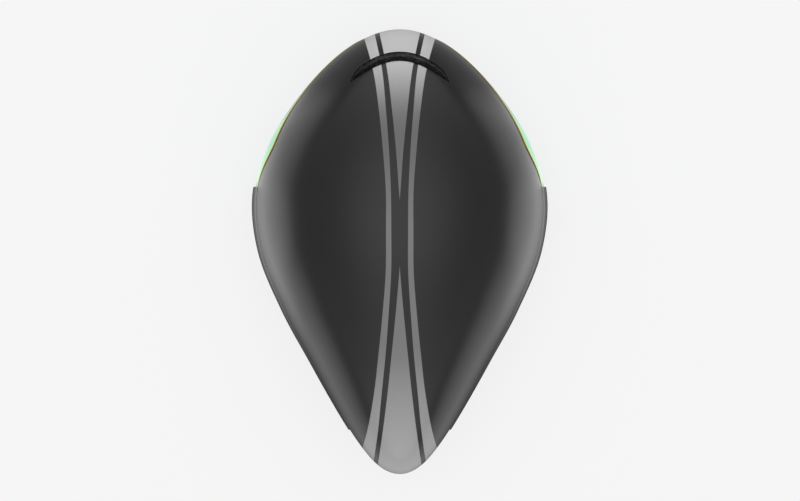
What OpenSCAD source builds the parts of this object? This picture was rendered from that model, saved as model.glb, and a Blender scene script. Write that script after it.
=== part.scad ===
// Road bike helmet with a wrap-round magnetic visor, side covers and a dial-tightened cradle.
// +Z up, the face looks towards -Y, +X is the wearer's left. The origin is on the table,
// below the middle of the shell, where the helmet stands on its side covers. Millimetres.

/* [Shell] */
// Length of the helmet, nose to tail
helmet_length = 311; // [305:1:317]
// Width of the shell at its widest, without the side covers
shell_width = 203.6; // [199:0.2:208]
// Height of the crown above the table
crown_height = 178; // [174:1:184]
// Height of the shell's widest level at mid length
widest_level = 58; // [56:0.5:60]
// Height of the brow point at the nose
nose_level = 88; // [86:0.5:91]
// Height of the tail point
tail_level = 80; // [77:0.5:83]
// Thickness of the outer shell
shell_wall = 2; // [1.6:0.1:2.3]
// Lowest height of the brow edge, beside the forehead
brow_dip = 90.5; // [88:0.5:93]
// Highest height of the brow edge, over the temples
brow_peak = 100.5; // [97:0.5:104]

/* [Front intake] */
// Width of the crescent intake, tip to tip
intake_w = 69; // [60:1:74]
// Width of its slot along the helmet
intake_slot = 6.5; // [5:0.5:8]
// Distance from the nose back to the slot's middle
intake_setback = 19; // [17:0.5:22]
// How far the slot's ends sweep back
intake_sweep = 14; // [11:0.5:17]

/* [Foam liner] */
// Length of the head cavity
cavity_length = 204; // [200:1:208]
// Width of the head cavity
cavity_width = 160; // [156:1:163]
// Height of the cavity's roof above the table
cavity_roof = 150; // [147:1:153]
// Distance from the middle of the shell forward to the middle of the head
head_forward = 25; // [23:1:27]
// Height of the liner's lower edge beside the ears
liner_hem = 49; // [47:0.5:52]
// Gap between the shell and the liner
liner_gap = 0.4; // [0.3:0.1:0.6]
// How much deeper the liner lies behind the visor than behind the shell
visor_recess = 1; // [0.8:0.1:1.4]
// Depth of the cooling channels in the cavity's roof
channel_depth = 7; // [5:0.5:8]
// Distance of the outer channels from the middle one
channel_pitch = 29; // [26:1:32]

/* [Side covers] */
// Distance of the covers' front edge ahead of the middle
cover_front = 45.5; // [44:0.5:47]
// Distance of the covers' rear end behind the middle
cover_rear = 124.5; // [120:0.5:128]
// Thickness of a side cover
cover_wall = 1.5; // [1.2:0.1:1.8]
// Gap between a cover and the shell under it
cover_gap = 0.4; // [0.3:0.1:0.6]
// How far the covers lap over the shell's edge
cover_lap = 4; // [3:0.5:5]
// Height of the covers' upper edge
cover_top = 82; // [80:0.5:84]
// Thickness of the foam inside the covers
ear_foam = 7; // [5:0.5:9]

/* [Visor] */
// Thickness of the lens
lens_wall = 1.5; // [1.2:0.1:1.7]
// Gap between the lens and the shell's brow edge
lens_gap = 1; // [0.9:0.1:1.4]
// Height of the lens's lower edge at the cheeks
lens_hem = 12; // [9:0.5:15]
// How far the lower edge arches up over the nose
nose_arch = 15; // [10:1:18]
// Distance that the lens runs in under a side cover
lens_tuck = 7; // [5:0.5:9]
// Radius of a visor magnet
magnet_r = 5; // [4:0.5:6]
// Thickness of a visor magnet
magnet_t = 3; // [2:0.25:3.5]

/* [Fit system] */
// Distance of the temple studs ahead of the middle
temple_forward = 50; // [47:1:53]
// Height of the temple studs
temple_level = 72; // [70:1:75]
// Radius of a temple stud
stud_r = 2.5; // [2:0.25:3]
// Height of the dial's axis
dial_level = 36; // [34:0.5:38]
// Radius of the dial
dial_r = 14; // [12:0.5:15]
// Depth of the dial along its axis
dial_depth = 9; // [7:0.5:11]
// Teeth on the dial's pinion
pinion_teeth = 12; // [11:1:13]
// Height of the headband
band_h = 12; // [10:0.5:14]
// Thickness of the headband
band_t = 1.6; // [1.4:0.1:2]

/* [Straps] */
// Width of the webbing
web_w = 15; // [13:0.5:16]
// Thickness of the webbing
web_t = 1.4; // [1.2:0.1:1.7]
// Distance of the chin loop's pivots ahead of the middle
pivot_forward = 20; // [17:1:23]
// How far the chin loop's front run lies behind the helmet's nose
chin_setback = 45.5; // [41.5:1:49.5]
// Radius of the chin loop's bends
chin_bend = 48; // [42:1:52]
// Length of the buckle's socket
socket_len = 32; // [29:1:35]
// Depth of the buckle from front to back
buckle_t = 9; // [8.5:0.5:10.5]

/* [Pads] */
// Thickness of the fabric pads
pad_t = 5; // [4:0.5:6]
// Thickness of a hook-and-loop patch under a pad
patch_t = 0.8; // [0.6:0.1:1]

/* [Hidden] */
half_l = helmet_length / 2;
half_w = shell_width / 2;
// Depth of the round below the widest level, and the squareness of the sections
belly = 115;
square_up = 2.2;
square_low = 2.4;
// Shares of the full width, height and depth at every 15 degrees of station, nose to tail
plan_shares = [0, .218, .449, .676, .887, .998, .962, .8045, .607, .43, .275, .1375, 0];
crown_shares = [0, .342, .608, .815, .944, 1, .996, .917, .773, .583, .39, .214, 0];
belly_shares = [0, .45, .74, .91, .98, 1, 1, .97, .91, .8, .59, .33, 0];
nose_shares = [1, .93, .77, .4, .1, -.03, 0, 0, 0, 0, 0, 0, 0];
tail_shares = [0, 0, 0, 0, 0, 0, 0, .23, .55, .77, .91, 1, 1];
// Cavity: height of its widest level at the brow, the ears and the nape, and its roundness
cavity_front_level = nose_level - 4;
cavity_side_level = 66;
cavity_rear_level = 62;
cavity_belly = 150;
cavity_roof_round = .85;
// Clearances
run_gap = 0.05;
part_gap = 0.3;
free_gap = 0.6;

// A smooth curve through evenly spaced values, read at a station angle
function curve(a, b, c, d, t) =
    (2 * b + (c - a) * t + (2 * a - 5 * b + 4 * c - d) * t * t
    + (3 * b - a - 3 * c + d) * t * t * t) / 2;
function along(v, th) =
    let (n = len(v) - 1, u = min(max(th * n / 180, 0), n - 1e-6), i = floor(u))
    curve(i == 0 ? 2 * v[0] - v[1] : v[i - 1], v[i], v[i + 1],
        i + 2 > n ? 2 * v[n] - v[n - 1] : v[i + 2], u - i);
// A height that eases from one key point to the next along Y
function ease(keys, y, i = 0) =
    y <= keys[0][0] ? keys[0][1]
    : i + 2 > len(keys) ? keys[i][1]
    : y > keys[i + 1][0] ? ease(keys, y, i + 1)
    : let (t = (y - keys[i][0]) / (keys[i + 1][0] - keys[i][0]))
        keys[i][1] + (keys[i + 1][1] - keys[i][1]) * t * t * (3 - 2 * t);

// The two rounded forms that everything follows: form 0 is the shell, form 1 the head cavity.
// th is the station from the nose, 0 to 180 degrees, and e an offset outwards.
function mid_y(s) = s == 0 ? 0 : -head_forward;
function reach_y(s, e) = (s == 0 ? half_l : cavity_length / 2) + e;
function station_y(s, th, e) = mid_y(s) - reach_y(s, e) * cos(th);
function station(s, y, e) = acos(max(-1, min(1, (mid_y(s) - y) / reach_y(s, e))));
function level(s, th) = s == 0
    ? widest_level + (nose_level - widest_level) * along(nose_shares, th)
        + (tail_level - widest_level) * along(tail_shares, th)
    : th < 90 ? cavity_side_level + (cavity_front_level - cavity_side_level) * pow(cos(th), 2)
    : cavity_side_level + (cavity_rear_level - cavity_side_level) * pow(cos(th), 2);
function wide(s, th, e) = s == 0 ? (half_w + e) * along(plan_shares, th)
    : (cavity_width / 2 + e) * sin(th);
function rise(s, th, e) = s == 0 ? (crown_height - level(0, th) + e) * along(crown_shares, th)
    : (cavity_roof - level(1, th) + e) * pow(sin(th), cavity_roof_round);
function drop(s, th, e) = s == 0 ? (belly + e) * along(belly_shares, th)
    : (cavity_belly + e) * sin(th);
function lean(s, th, z, e) = let (d = z - level(s, th))
    d >= 0 ? asin(pow(min(1, d / rise(s, th, e)), square_up / 2))
    : -asin(pow(min(1, -d / drop(s, th, e)), square_low / 2));
function on_form(s, th, ph, e) = let (c = abs(cos(ph)), d = sin(ph), q = d < 0 ? square_low : square_up)
    [sign(cos(ph)) * wide(s, th, e) * pow(c, 2 / q), station_y(s, th, e),
    level(s, th) + (d < 0 ? -drop(s, th, e) : rise(s, th, e)) * pow(abs(d), 2 / q)];
function roof_z(s, x, y) = let (th = station(s, y, 0))
    on_form(s, th, acos(min(1, pow(abs(x) / wide(s, th, 0), square_up / 2))), 0)[2];
function at_level(s, y, z, e) = let (th = station(s, y, e)) on_form(s, th, lean(s, th, z, e), e);

// Where a level ray from (0, cy) at angle az from straight ahead leaves a form
function holds(s, x, y, z, e) =
    abs(y - mid_y(s)) >= reach_y(s, e) ? false
    : let (th = station(s, y, e), d = z - level(s, th), h = d < 0 ? drop(s, th, e) : rise(s, th, e),
        q = d < 0 ? square_low : square_up)
        abs(d) < h && pow(abs(x) / wide(s, th, e), q) + pow(abs(d) / h, q) < 1;
function halve(s, cy, az, z, e, lo, hi, k) = k == 0 ? (lo + hi) / 2
    : let (r = (lo + hi) / 2)
        holds(s, r * sin(az), cy - r * cos(az), z, e)
            ? halve(s, cy, az, z, e, r, hi, k - 1) : halve(s, cy, az, z, e, lo, r, k - 1);
function ray_point(s, cy, az, z, e) = let (r = halve(s, cy, az, z, e, 0, helmet_length, 17))
    [r * sin(az), cy - r * cos(az), z];
function unit(v) = v / norm(v);
function outward(s, y, z) =
    unit(cross(at_level(s, y + 1, z, 0) - at_level(s, y - 1, z, 0),
        at_level(s, y, z + 1, 0) - at_level(s, y, z - 1, 0)));

// Edge lines of the shell, the liner and the covers, as heights along Y
// cover_rise is how far the shell's edge stands over the covers' front corners
brow_dip_y = -110;
brow_peak_y = -75;
cover_rise = 2.5;
lap_y = 11.5 - cover_front;
shell_keys = [[-half_l, nose_level], [brow_dip_y, brow_dip], [brow_peak_y, brow_peak],
    [-cover_front, cover_top + cover_rise], [lap_y, cover_top - cover_lap - 1],
    [cover_rear, cover_top - cover_lap], [half_l, tail_level]];
hem_front = -45;
hem_rear = 85;
liner_keys = [[-half_l, nose_level], [-100, nose_level - 12], [hem_front, liner_hem],
    [hem_rear, liner_hem], [half_l, tail_level]];
rest_rear = 38;
cover_nose = 10;
cover_tail = 54;
cover_keys = [[-cover_front, cover_nose], [10 - cover_front, 0], [rest_rear, 0], [cover_rear, cover_tail]];
function shell_edge(y) = ease(shell_keys, y);
function cavity_edge(th) = th < 90
    ? liner_hem + (cavity_front_level - liner_hem) * pow(cos(th), 4)
    : liner_hem + (cavity_rear_level - liner_hem) * pow(cos(th), 4);

// Triangles of a closed solid between an outer and an inner grid of n rows and m columns
function flat_list(rows) = [for (r = rows) for (p = r) p];
function pair(a, b, c, d) = [[a, b, c], [a, c, d]];
function turned(f) = [for (t = f) [t[2], t[1], t[0]]];
function sheet_faces(n, m, k) = [for (i = [0:n - 2]) for (j = [0:m - 2]) let (a = k + i * m + j)
    each pair(a, a + 1, a + m + 1, a + m)];
function side_faces(n, m, k) = [for (i = [0:n - 2]) let (a = i * m, b = a + m - 1)
    each concat(pair(a, a + m, a + m + k, a + k), pair(b + m, b, b + k, b + m + k))];
module patch(outer, inner) {
    n = len(outer);
    m = len(outer[0]);
    k = n * m;
    e = (n - 1) * m;
    ends = [for (j = [0:m - 2]) each concat(pair(j + 1, j, j + k, j + 1 + k),
        pair(e + j, e + j + 1, e + j + 1 + k, e + j + k))];
    polyhedron(concat(flat_list(outer), flat_list(inner)),
        concat(sheet_faces(n, m, 0), turned(sheet_faces(n, m, k)), side_faces(n, m, k), ends));
}
// The same with each sheet drawn to a point at the nose and the tail
module skin(outer, inner, nose_out, tail_out, nose_in, tail_in) {
    n = len(outer);
    m = len(outer[0]);
    k = n * m;
    e = (n - 1) * m;
    no = 2 * k;
    to = no + 1;
    ni = no + 2;
    ti = no + 3;
    fans = [for (j = [0:m - 2]) each [[no, j + 1, j], [e + j, e + j + 1, to],
        [ni, k + j, k + j + 1], [k + e + j + 1, k + e + j, ti]]];
    tips = concat(pair(no, 0, k, ni), pair(m - 1, no, ni, k + m - 1),
        pair(e, to, ti, k + e), pair(to, e + m - 1, k + e + m - 1, ti));
    polyhedron(concat(flat_list(outer), flat_list(inner), [nose_out, tail_out, nose_in, tail_in]),
        concat(sheet_faces(n, m, 0), turned(sheet_faces(n, m, k)), side_faces(n, m, k), fans, tips));
}
module both_sides() {
    children();
    mirror([1, 0, 0]) children();
}
module along_normal(p, v) translate(p) rotate([0, acos(v[2]), atan2(v[1], v[0])]) children();
module rounded(w, h, r) {
    square([w - 2 * r, h], center = true);
    square([w, h - 2 * r], center = true);
    for (x = [-1, 1], y = [-1, 1])
        translate([x * (w / 2 - r), y * (h / 2 - r)]) circle(r, $fn = 32);
}
// A plate in the XZ plane, rounded at its corners, from y to y + t
module plate(w, h, r, y, t) translate([0, y + t, 0]) rotate([90, 0, 0]) linear_extrude(t) rounded(w, h, r);
module rod_x(r, x0, x1, fn = 48)
    translate([x0, 0, 0]) rotate([0, 90, 0]) cylinder(r = r, h = x1 - x0, $fn = fn);

// Outer shell: rows of arcs from one edge over the crown to the other, closer at the temples
shell_stations = concat([for (t = [6:6:60]) t], [for (t = [62:2:82]) t], [for (t = [84:6:174]) t]);
shell_arcs = 26;
function arc_row(s, th, z, e, m) = let (low = lean(s, th, z, e))
    [for (j = [0:m]) on_form(s, th, low + (180 - 2 * low) * j / m, e)];
function shell_sheet(e) = [for (th = shell_stations)
    arc_row(0, th, shell_edge(station_y(0, th, e)), e, shell_arcs)];
function intake_y(x) = -half_l + intake_setback + intake_sweep * pow(2 * x / intake_w, 2);
intake_steps = 10;
intake_run = intake_w / 2 - intake_slot / 2;
module intake_cut(r, z0, z1) {
    for (i = [0:intake_steps - 1]) hull() for (k = [i, i + 1]) {
        x = intake_run * (2 * k / intake_steps - 1);
        translate([x, intake_y(x), z0]) cylinder(r = r, h = z1 - z0, $fn = 20);
    }
}
module outer_shell() color([.3, .31, .33]) difference() {
    skin(shell_sheet(0), shell_sheet(-shell_wall),
        [0, -half_l, nose_level], [0, half_l, tail_level],
        [0, shell_wall - half_l, nose_level], [0, half_l - shell_wall, tail_level]);
    intake_cut(intake_slot / 2, nose_level + 20, crown_height);
}

// Foam liner: outer sheet under the shell, inner sheet on the head cavity
liner_rows = 28;
liner_arcs = 24;
liner_off = shell_wall + liner_gap;
function liner_depth(p) = p[2] > shell_edge(p[1]) - cover_lap ? -liner_off : -liner_off - visor_recess;
function liner_out(th, ph) = on_form(0, th, ph, liner_depth(on_form(0, th, ph, 0)));
liner_outer = [for (i = [1:liner_rows - 1])
    let (th = 180 * i / liner_rows, low = lean(0, th, ease(liner_keys, station_y(0, th, 0)), 0))
    [for (j = [0:liner_arcs]) liner_out(th, low + (180 - 2 * low) * j / liner_arcs)]];
function cavity_sheet(e) = [for (i = [1:liner_rows - 1]) let (th = 180 * i / liner_rows)
    arc_row(1, th, cavity_edge(th), e, liner_arcs)];
magnet_y = -82;
magnet_drop = 9;
nose_sink = .5;
magnet_z = shell_edge(magnet_y) - magnet_drop;
plate_t = 1;
plate_gap = 0.5;
magnet_seat = lens_wall + plate_gap + plate_t + part_gap;
module magnet_places() {
    both_sides() along_normal(at_level(0, magnet_y, magnet_z, 0), outward(0, magnet_y, magnet_z))
        children();
    translate(ray_point(0, lens_mid, 0, nose_level - magnet_drop, -nose_sink)) rotate([98, 0, 0]) children();
}
bush_r = stud_r + 2.5;
bush_len = 10;
bush_x = wide(1, station(1, -temple_forward, 0), 0) - 1;
channel_steps = 7;
function channel_point(x, k) = let (th = 32 + 118 * k / channel_steps)
    [x, station_y(1, th, 0), roof_z(1, x, station_y(1, th, 0))];
module channel(x) for (k = [0:channel_steps - 1])
    hull() for (i = [k, k + 1]) translate(channel_point(x, i)) sphere(channel_depth, $fn = 16);
// Intake ducts from the slot into the front of the cavity's roof
duct_end = -head_forward - .7 * cavity_length / 2;
duct_end_r = 6;
duct_dip = 3;
module duct_ends(x) {
    translate([x, intake_y(x), roof_z(0, x, intake_y(x)) - duct_dip]) sphere(intake_slot / 2, $fn = 14);
    translate([x * .8, duct_end, roof_z(1, 0, duct_end) - 2 * duct_end_r]) sphere(duct_end_r, $fn = 14);
}
rack_y = cavity_length / 2 - head_forward - 15;
// Exhaust duct: where it leaves the cavity's roof, bends and comes out under the tail, in Y and Z
exhaust_z = tail_level - 12;
exhaust_w = 34;
exhaust_h = 9;
exhaust_drop = 54;
exhaust_in = [rack_y - 6, cavity_roof - exhaust_drop];
exhaust_bend = [half_l - 37.5, exhaust_z + 8];
exhaust_out = [half_l + 4, exhaust_z];
module exhaust_leg(a, b) hull() for (x = [-1, 1], p = [a, b])
    translate([x * (exhaust_w - exhaust_h) / 2, p[0], p[1]]) sphere(exhaust_h / 2, $fn = 16);
// Guide in the liner for the cradle's height strip, both on arcs about the temple studs
guide_w = 19;
strip_r = rack_y + temple_forward + 10;
strip_t = 1.6;
guide_low = -1.5;
guide_high = 3;
guide_wall = 1.6;
guide_back = 4;
guide_in = strip_r - free_gap - guide_wall;
guide_out = strip_r + strip_t + guide_back;
module foam_liner() color([.11, .11, .12]) difference() {
    skin(liner_outer, cavity_sheet(0),
        [0, liner_off - half_l, nose_level], [0, half_l - liner_off, tail_level],
        [0, mid_y(1) - cavity_length / 2, cavity_front_level],
        [0, mid_y(1) + cavity_length / 2, cavity_rear_level]);
    for (i = [0:intake_steps - 1]) hull() for (k = [i, i + 1])
        duct_ends(intake_run * (2 * k / intake_steps - 1));
    for (x = [-channel_pitch, 0, channel_pitch]) channel(x);
    exhaust_leg(exhaust_in, exhaust_bend);
    exhaust_leg(exhaust_bend, exhaust_out);
    magnet_places() translate([0, 0, -magnet_seat - magnet_t - part_gap])
        cylinder(r = magnet_r + part_gap, h = magnet_t + 4, $fn = 32);
    both_sides() translate([0, -temple_forward, temple_level])
        rod_x(bush_r + run_gap, bush_x - bush_len, bush_x + bush_len + part_gap, 32);
    translate([-guide_w / 2 - part_gap, rack_y, temple_level + guide_out * sin(guide_low) - part_gap])
        cube([guide_w + 2 * part_gap, guide_out - temple_forward - rack_y + part_gap,
            guide_out * (sin(guide_high) - sin(guide_low)) + 2 * part_gap]);
}

// Side covers, cut flat where the helmet stands, and the foam inside them
cover_rows = 24;
cover_cols = 10;
function cover_point(y, k, e) = let (low = ease(cover_keys, y), top = ease(
    [[-cover_front, cover_top], [cover_rear, cover_top + 2]], y))
    at_level(0, y, low + (top - low) * k, e);
function cover_sheet(e) = [for (i = [0:cover_rows])
    let (y = -cover_front + (cover_front + cover_rear) * i / cover_rows)
    [for (j = [0:cover_cols]) cover_point(y, j / cover_cols, e)]];
module side_cover() patch(cover_sheet(cover_gap + cover_wall), cover_sheet(cover_gap));
module side_cover_left() color([.1, .1, .11]) side_cover();
module side_cover_right() color([.1, .1, .11]) mirror([1, 0, 0]) side_cover();
foam_front = cover_front - lens_tuck - 6;
foam_rear = 84;
foam_low = 5;
foam_toe = 16;
foam_heel = 26;
foam_keys = [[-foam_front, cover_nose + 2], [foam_toe - foam_front, foam_low], [rest_rear, foam_low],
    [foam_rear, foam_heel]];
foam_top = liner_hem - 4;
function foam_sheet(e) = [for (i = [0:16]) let (y = -foam_front + (foam_front + foam_rear) * i / 16)
    [for (j = [0:5]) let (low = ease(foam_keys, y)) at_level(0, y, low + (foam_top - low) * j / 5, e)]];
module ear_pad() patch(foam_sheet(cover_gap - part_gap), foam_sheet(cover_gap - part_gap - ear_foam));
module ear_foam_left() color([.16, .16, .17]) ear_pad();
module ear_foam_right() color([.16, .16, .17]) mirror([1, 0, 0]) ear_pad();

// Tail panel: the black skin under the tail, lapped in under the covers, with its exhaust slots
tail_start = cover_rear - 8;
tail_mid = tail_start - 4;
tail_spread = atan2(wide(0, station(0, tail_start, 0), 0), 4);
tail_hem = 62;
slot_n = 5;
slot_pitch = 7;
slot_w = 5;
function tail_sheet(e) = [for (i = [0:20]) let (az = 180 + tail_spread * (i / 10 - 1))
    [for (j = [0:3]) let (top = ray_point(0, tail_mid, az, tail_level - 2, e),
        z1 = shell_edge(top[1]) - part_gap)
        ray_point(0, tail_mid, az, tail_hem + (z1 - tail_hem) * j / 3, e)]];
module tail_panel() color([.12, .12, .13]) difference() {
    patch(tail_sheet(0), tail_sheet(-shell_wall));
    for (i = [0:slot_n - 1]) translate([(i - (slot_n - 1) / 2) * slot_pitch, half_l - 12, exhaust_z])
        rotate([-90, 0, 0]) linear_extrude(20) rounded(slot_w, exhaust_h, 2);
}

// Visor: one lens from cover to cover, with steel plates that meet the magnets in the liner
lens_cols = 6;
lens_steps = 28;
lens_mid = -20;
lens_end = -cover_front + lens_tuck;
lens_spread = atan2(at_level(0, lens_end, 60, 0)[0], lens_mid - lens_end);
function lens_low(az) = lens_hem + nose_arch * pow(max(0, cos(az)), 8);
function lens_top(az, z = brow_dip, k = 5) = k == 0 ? z
    : lens_top(az, shell_edge(ray_point(0, lens_mid, az, z, 0)[1]) - lens_gap, k - 1);
function lens_sheet(e) = [for (i = [0:2 * lens_steps])
    let (az = lens_spread * (i / lens_steps - 1), top = lens_top(az), low = lens_low(az))
    [for (j = [0:lens_cols]) ray_point(0, lens_mid, az, low + (top - low) * j / lens_cols, e)]];
module visor_lens() color([.55, .95, .65, .8]) patch(lens_sheet(0), lens_sheet(-lens_wall));
module visor_plates() color([.7, .7, .72]) magnet_places()
    translate([0, 0, -lens_wall - plate_gap - plate_t]) cylinder(r = magnet_r, h = plate_t, $fn = 48);
module shell_magnets() color([.5, .5, .52]) magnet_places()
    translate([0, 0, -magnet_seat - magnet_t]) cylinder(r = magnet_r, h = magnet_t, $fn = 48);

// Fabric pads on hook-and-loop patches, both cut from the cavity's own form
pad_lift = patch_t + 2 * part_gap;
function brow_sheet(e, a, z0, z1, n, m) = [for (i = [0:n]) let (az = a * (2 * i / n - 1))
    [for (j = [0:m]) ray_point(1, -head_forward, az, z0 + (z1 - z0) * j / m, e)]];
function roof_sheet(e, t0, t1, x, w, n, m) = [for (i = [0:n]) let (th = t0 + (t1 - t0) * i / n)
    [for (j = [0:m]) let (px = x + w / 2 - w * j / m)
        on_form(1, th, acos(sign(px) * pow(abs(px) / wide(1, th, e), square_up / 2)), e)]];
function side_sheet(e, y0, y1, z0, z1, n, m) = [for (i = [0:n]) let (y = y0 + (y1 - y0) * i / n)
    [for (j = [0:m]) at_level(1, y, z0 + (z1 - z0) * j / m, e)]];
pad_back = -pad_lift;
pad_face = -pad_lift - pad_t;
patch_back = -part_gap;
patch_face = -part_gap - patch_t;
brow_low = nose_level + 2;
brow_high = brow_low + 17;
brow_reach = 52;
crown_x = channel_pitch / 2;
crown_w = 11;
crown_start = 52;
crown_end = 132;
side_reach = 30;
side_low = cavity_side_level + 20;
side_high = side_low + 18;
// How far a patch keeps inside its pad's edges, the crown patches' places along their pads, in
// degrees, and the other patches' half lengths
patch_inset = 3;
patch_turn = 6;
patch_first = 14;
patch_last = 16;
brow_patch = 6;
side_patch = 7;
module brow_pad() color([.13, .13, .14]) patch(brow_sheet(pad_back, brow_reach, brow_low, brow_high, 20, 3),
    brow_sheet(pad_face, brow_reach, brow_low, brow_high, 20, 3));
module crown_pad(x) patch(roof_sheet(pad_back, crown_start, crown_end, x, crown_w, 16, 3),
    roof_sheet(pad_face, crown_start, crown_end, x, crown_w, 16, 3));
module crown_pad_left() color([.13, .13, .14]) crown_pad(crown_x);
module crown_pad_right() color([.13, .13, .14]) mirror([1, 0, 0]) crown_pad(crown_x);
module side_pad() patch(side_sheet(pad_back, -side_reach, side_reach, side_low, side_high, 8, 3),
    side_sheet(pad_face, -side_reach, side_reach, side_low, side_high, 8, 3));
module side_pad_left() color([.13, .13, .14]) side_pad();
module side_pad_right() color([.13, .13, .14]) mirror([1, 0, 0]) side_pad();
module pad_patches() color([.22, .22, .23]) {
    patch(brow_sheet(patch_back, brow_patch, brow_low + patch_inset, brow_high - patch_inset, 3, 2),
        brow_sheet(patch_face, brow_patch, brow_low + patch_inset, brow_high - patch_inset, 3, 2));
    both_sides() {
        patch(side_sheet(patch_back, -side_patch, side_patch, side_low + patch_inset,
            side_high - patch_inset, 3, 2), side_sheet(patch_face, -side_patch, side_patch,
            side_low + patch_inset, side_high - patch_inset, 3, 2));
        for (t = [crown_start + patch_first, crown_end - patch_last])
            patch(roof_sheet(patch_back, t, t + patch_turn, crown_x, crown_w - 2, 3, 2),
                roof_sheet(patch_face, t, t + patch_turn, crown_x, crown_w - 2, 3, 2));
    }
}

// A strap or band that stands on edge along a path, with its height at each point
function path_side(p, i) = let (a = p[max(0, i - 1)], b = p[min(len(p) - 1, i + 1)],
    d = unit([b[0] - a[0], b[1] - a[1]])) [d[1], -d[0], 0];
module ribbon(p, h, t) {
    function sheet(e) = [for (i = [0:len(p) - 1]) [for (k = [-.5, .5])
        p[i] + e * path_side(p, i) + [0, 0, k * (is_list(h) ? h[i] : h)]]];
    patch(sheet(t / 2), sheet(-t / 2));
}

// Cradle: racks and pinion behind the nape, in a flat gear case
gear_module = 0.8;
pitch_r = gear_module * pinion_teeth / 2;
tooth_pitch = PI * gear_module;
backlash = 0.3;
rack_t = 3.4;
rack_h = 3.5;
rack_play = 0.3;
rack_root = pitch_r + 1;
rack_mid = rack_root + rack_h / 2;
rack_reach = 30;
rack_tail = -8;
case_w = 56;
case_wall = 2.8;
case_in_h = rack_root + rack_h + 3 * rack_play;
case_h = 2 * (case_in_h + case_wall);
case_y0 = rack_y - rack_t / 2 - part_gap - rack_play;
case_y1 = rack_y + rack_t / 2 + part_gap + rack_play;
base_t = 3.4;
cover_back = case_y1 + 3;
shaft_r = 3;
knob_y = cover_back + part_gap;
function rack_points() = let (lower = [for (k = [-2:4]) let (c = (k + .5) * tooth_pitch,
        a = tooth_pitch / 4 - backlash / 2, f = tan(20))
        each [[c - a - f, rack_root], [c - a + .5 * f, pitch_r - .5],
            [c + a - .5 * f, pitch_r - .5], [c + a + f, rack_root]]])
    concat([[rack_tail, rack_root]], lower, [[rack_reach + 1, rack_root],
        [rack_reach + 1, rack_root + rack_h], [rack_tail, rack_root + rack_h]]);
module rack() translate([0, rack_y + rack_t / 2, dial_level]) rotate([90, 0, 0])
    linear_extrude(rack_t) polygon(rack_points());
// The headband's plan: a rounded oval inside the cavity, then an easy turn in to the gear case
band_a = cavity_width / 2 - 3.5;
band_b = cavity_length / 2 - 7.4;
band_n = 2.15;
band_turn_x = 50;
function band_at(al) = [band_a * pow(sin(al), 2 / band_n),
    -head_forward - sign(cos(al)) * band_b * pow(abs(cos(al)), 2 / band_n)];
band_start = acos(pow((temple_forward - head_forward) / band_b, band_n / 2));
band_end = 180 - asin(pow(band_turn_x / band_a, band_n / 2));
function bezier(a, b, c, d, t) =
    a * pow(1 - t, 3) + 3 * b * t * pow(1 - t, 2) + 3 * c * t * t * (1 - t) + d * pow(t, 3);
band_turn = band_at(band_end);
band_plan = concat([for (i = [0:16]) band_at(band_start + (band_end - band_start) * i / 16)],
    [for (i = [1:8]) bezier(band_turn, band_turn + [-6, 6], [rack_reach + 8, rack_y],
        [rack_reach, rack_y], i / 8)]);
band_last = len(band_plan) - 1;
function band_path(side) = [for (i = [0:band_last]) let (t = i / band_last, k = t * t * (3 - 2 * t))
    [band_plan[i][0], band_plan[i][1], temple_level + (dial_level + side * rack_mid - temple_level) * k]];
band_heights = [for (i = [0:band_last]) let (t = max(0, i / band_last * 2.4 - 1.4), k = t * t * (3 - 2 * t))
    band_h + (rack_h - band_h) * k];
eye_x = band_plan[0][0];
module band(side) difference() {
    union() {
        ribbon(band_path(side), band_heights, band_t);
        if (side > 0) rack();
        else translate([0, 0, 2 * dial_level]) mirror([0, 0, 1])
            translate([pinion_teeth % 2 * tooth_pitch / 2, 0, 0]) rack();
        translate([0, -temple_forward, temple_level]) {
            rod_x(band_h / 2 + 1, eye_x - band_t / 2, eye_x + band_t / 2);
            rod_x(stud_r, eye_x, bush_x + bush_len - .8);
        }
    }
}
module band_left() color([.14, .14, .15]) band(1);
module band_right() color([.14, .14, .15]) mirror([1, 0, 0]) band(-1);
module temple_bushes() color([.2, .2, .21]) both_sides() translate([0, -temple_forward, temple_level])
    difference() {
        rod_x(bush_r, bush_x, bush_x + bush_len);
        rod_x(stud_r + run_gap, bush_x - 1, bush_x + bush_len + 1);
    }
nape_w = 22;
nape_h = 18;
nape_t = 3.4;
module cradle_base() color([.15, .15, .16]) difference() {
    translate([0, 0, dial_level]) plate(case_w, case_h, 6, case_y0 - base_t, base_t);
    translate([0, case_y0 - base_t - 1, dial_level]) rotate([-90, 0, 0])
        cylinder(r = shaft_r + run_gap, h = base_t + 2, $fn = 48);
}
neck_w = 18;
neck_top = dial_level + dial_r + 6;
bridge_t = 4;
strip_w = 14;
strip_low = asin((dial_level + dial_r + 1.2 - temple_level) / strip_r);
strip_high = 4.5;
bridge_end = sqrt(pow(strip_r + strip_t / 2, 2) - pow(neck_top - temple_level, 2)) - temple_forward;
module arc_x(r0, r1, w, a0, a1) translate([0, -temple_forward, temple_level]) rotate([90, 0, 90])
    rotate([0, 0, a0]) rotate_extrude(angle = a1 - a0, $fn = 180)
        translate([r0, -w / 2]) square([r1 - r0, w]);
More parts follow.
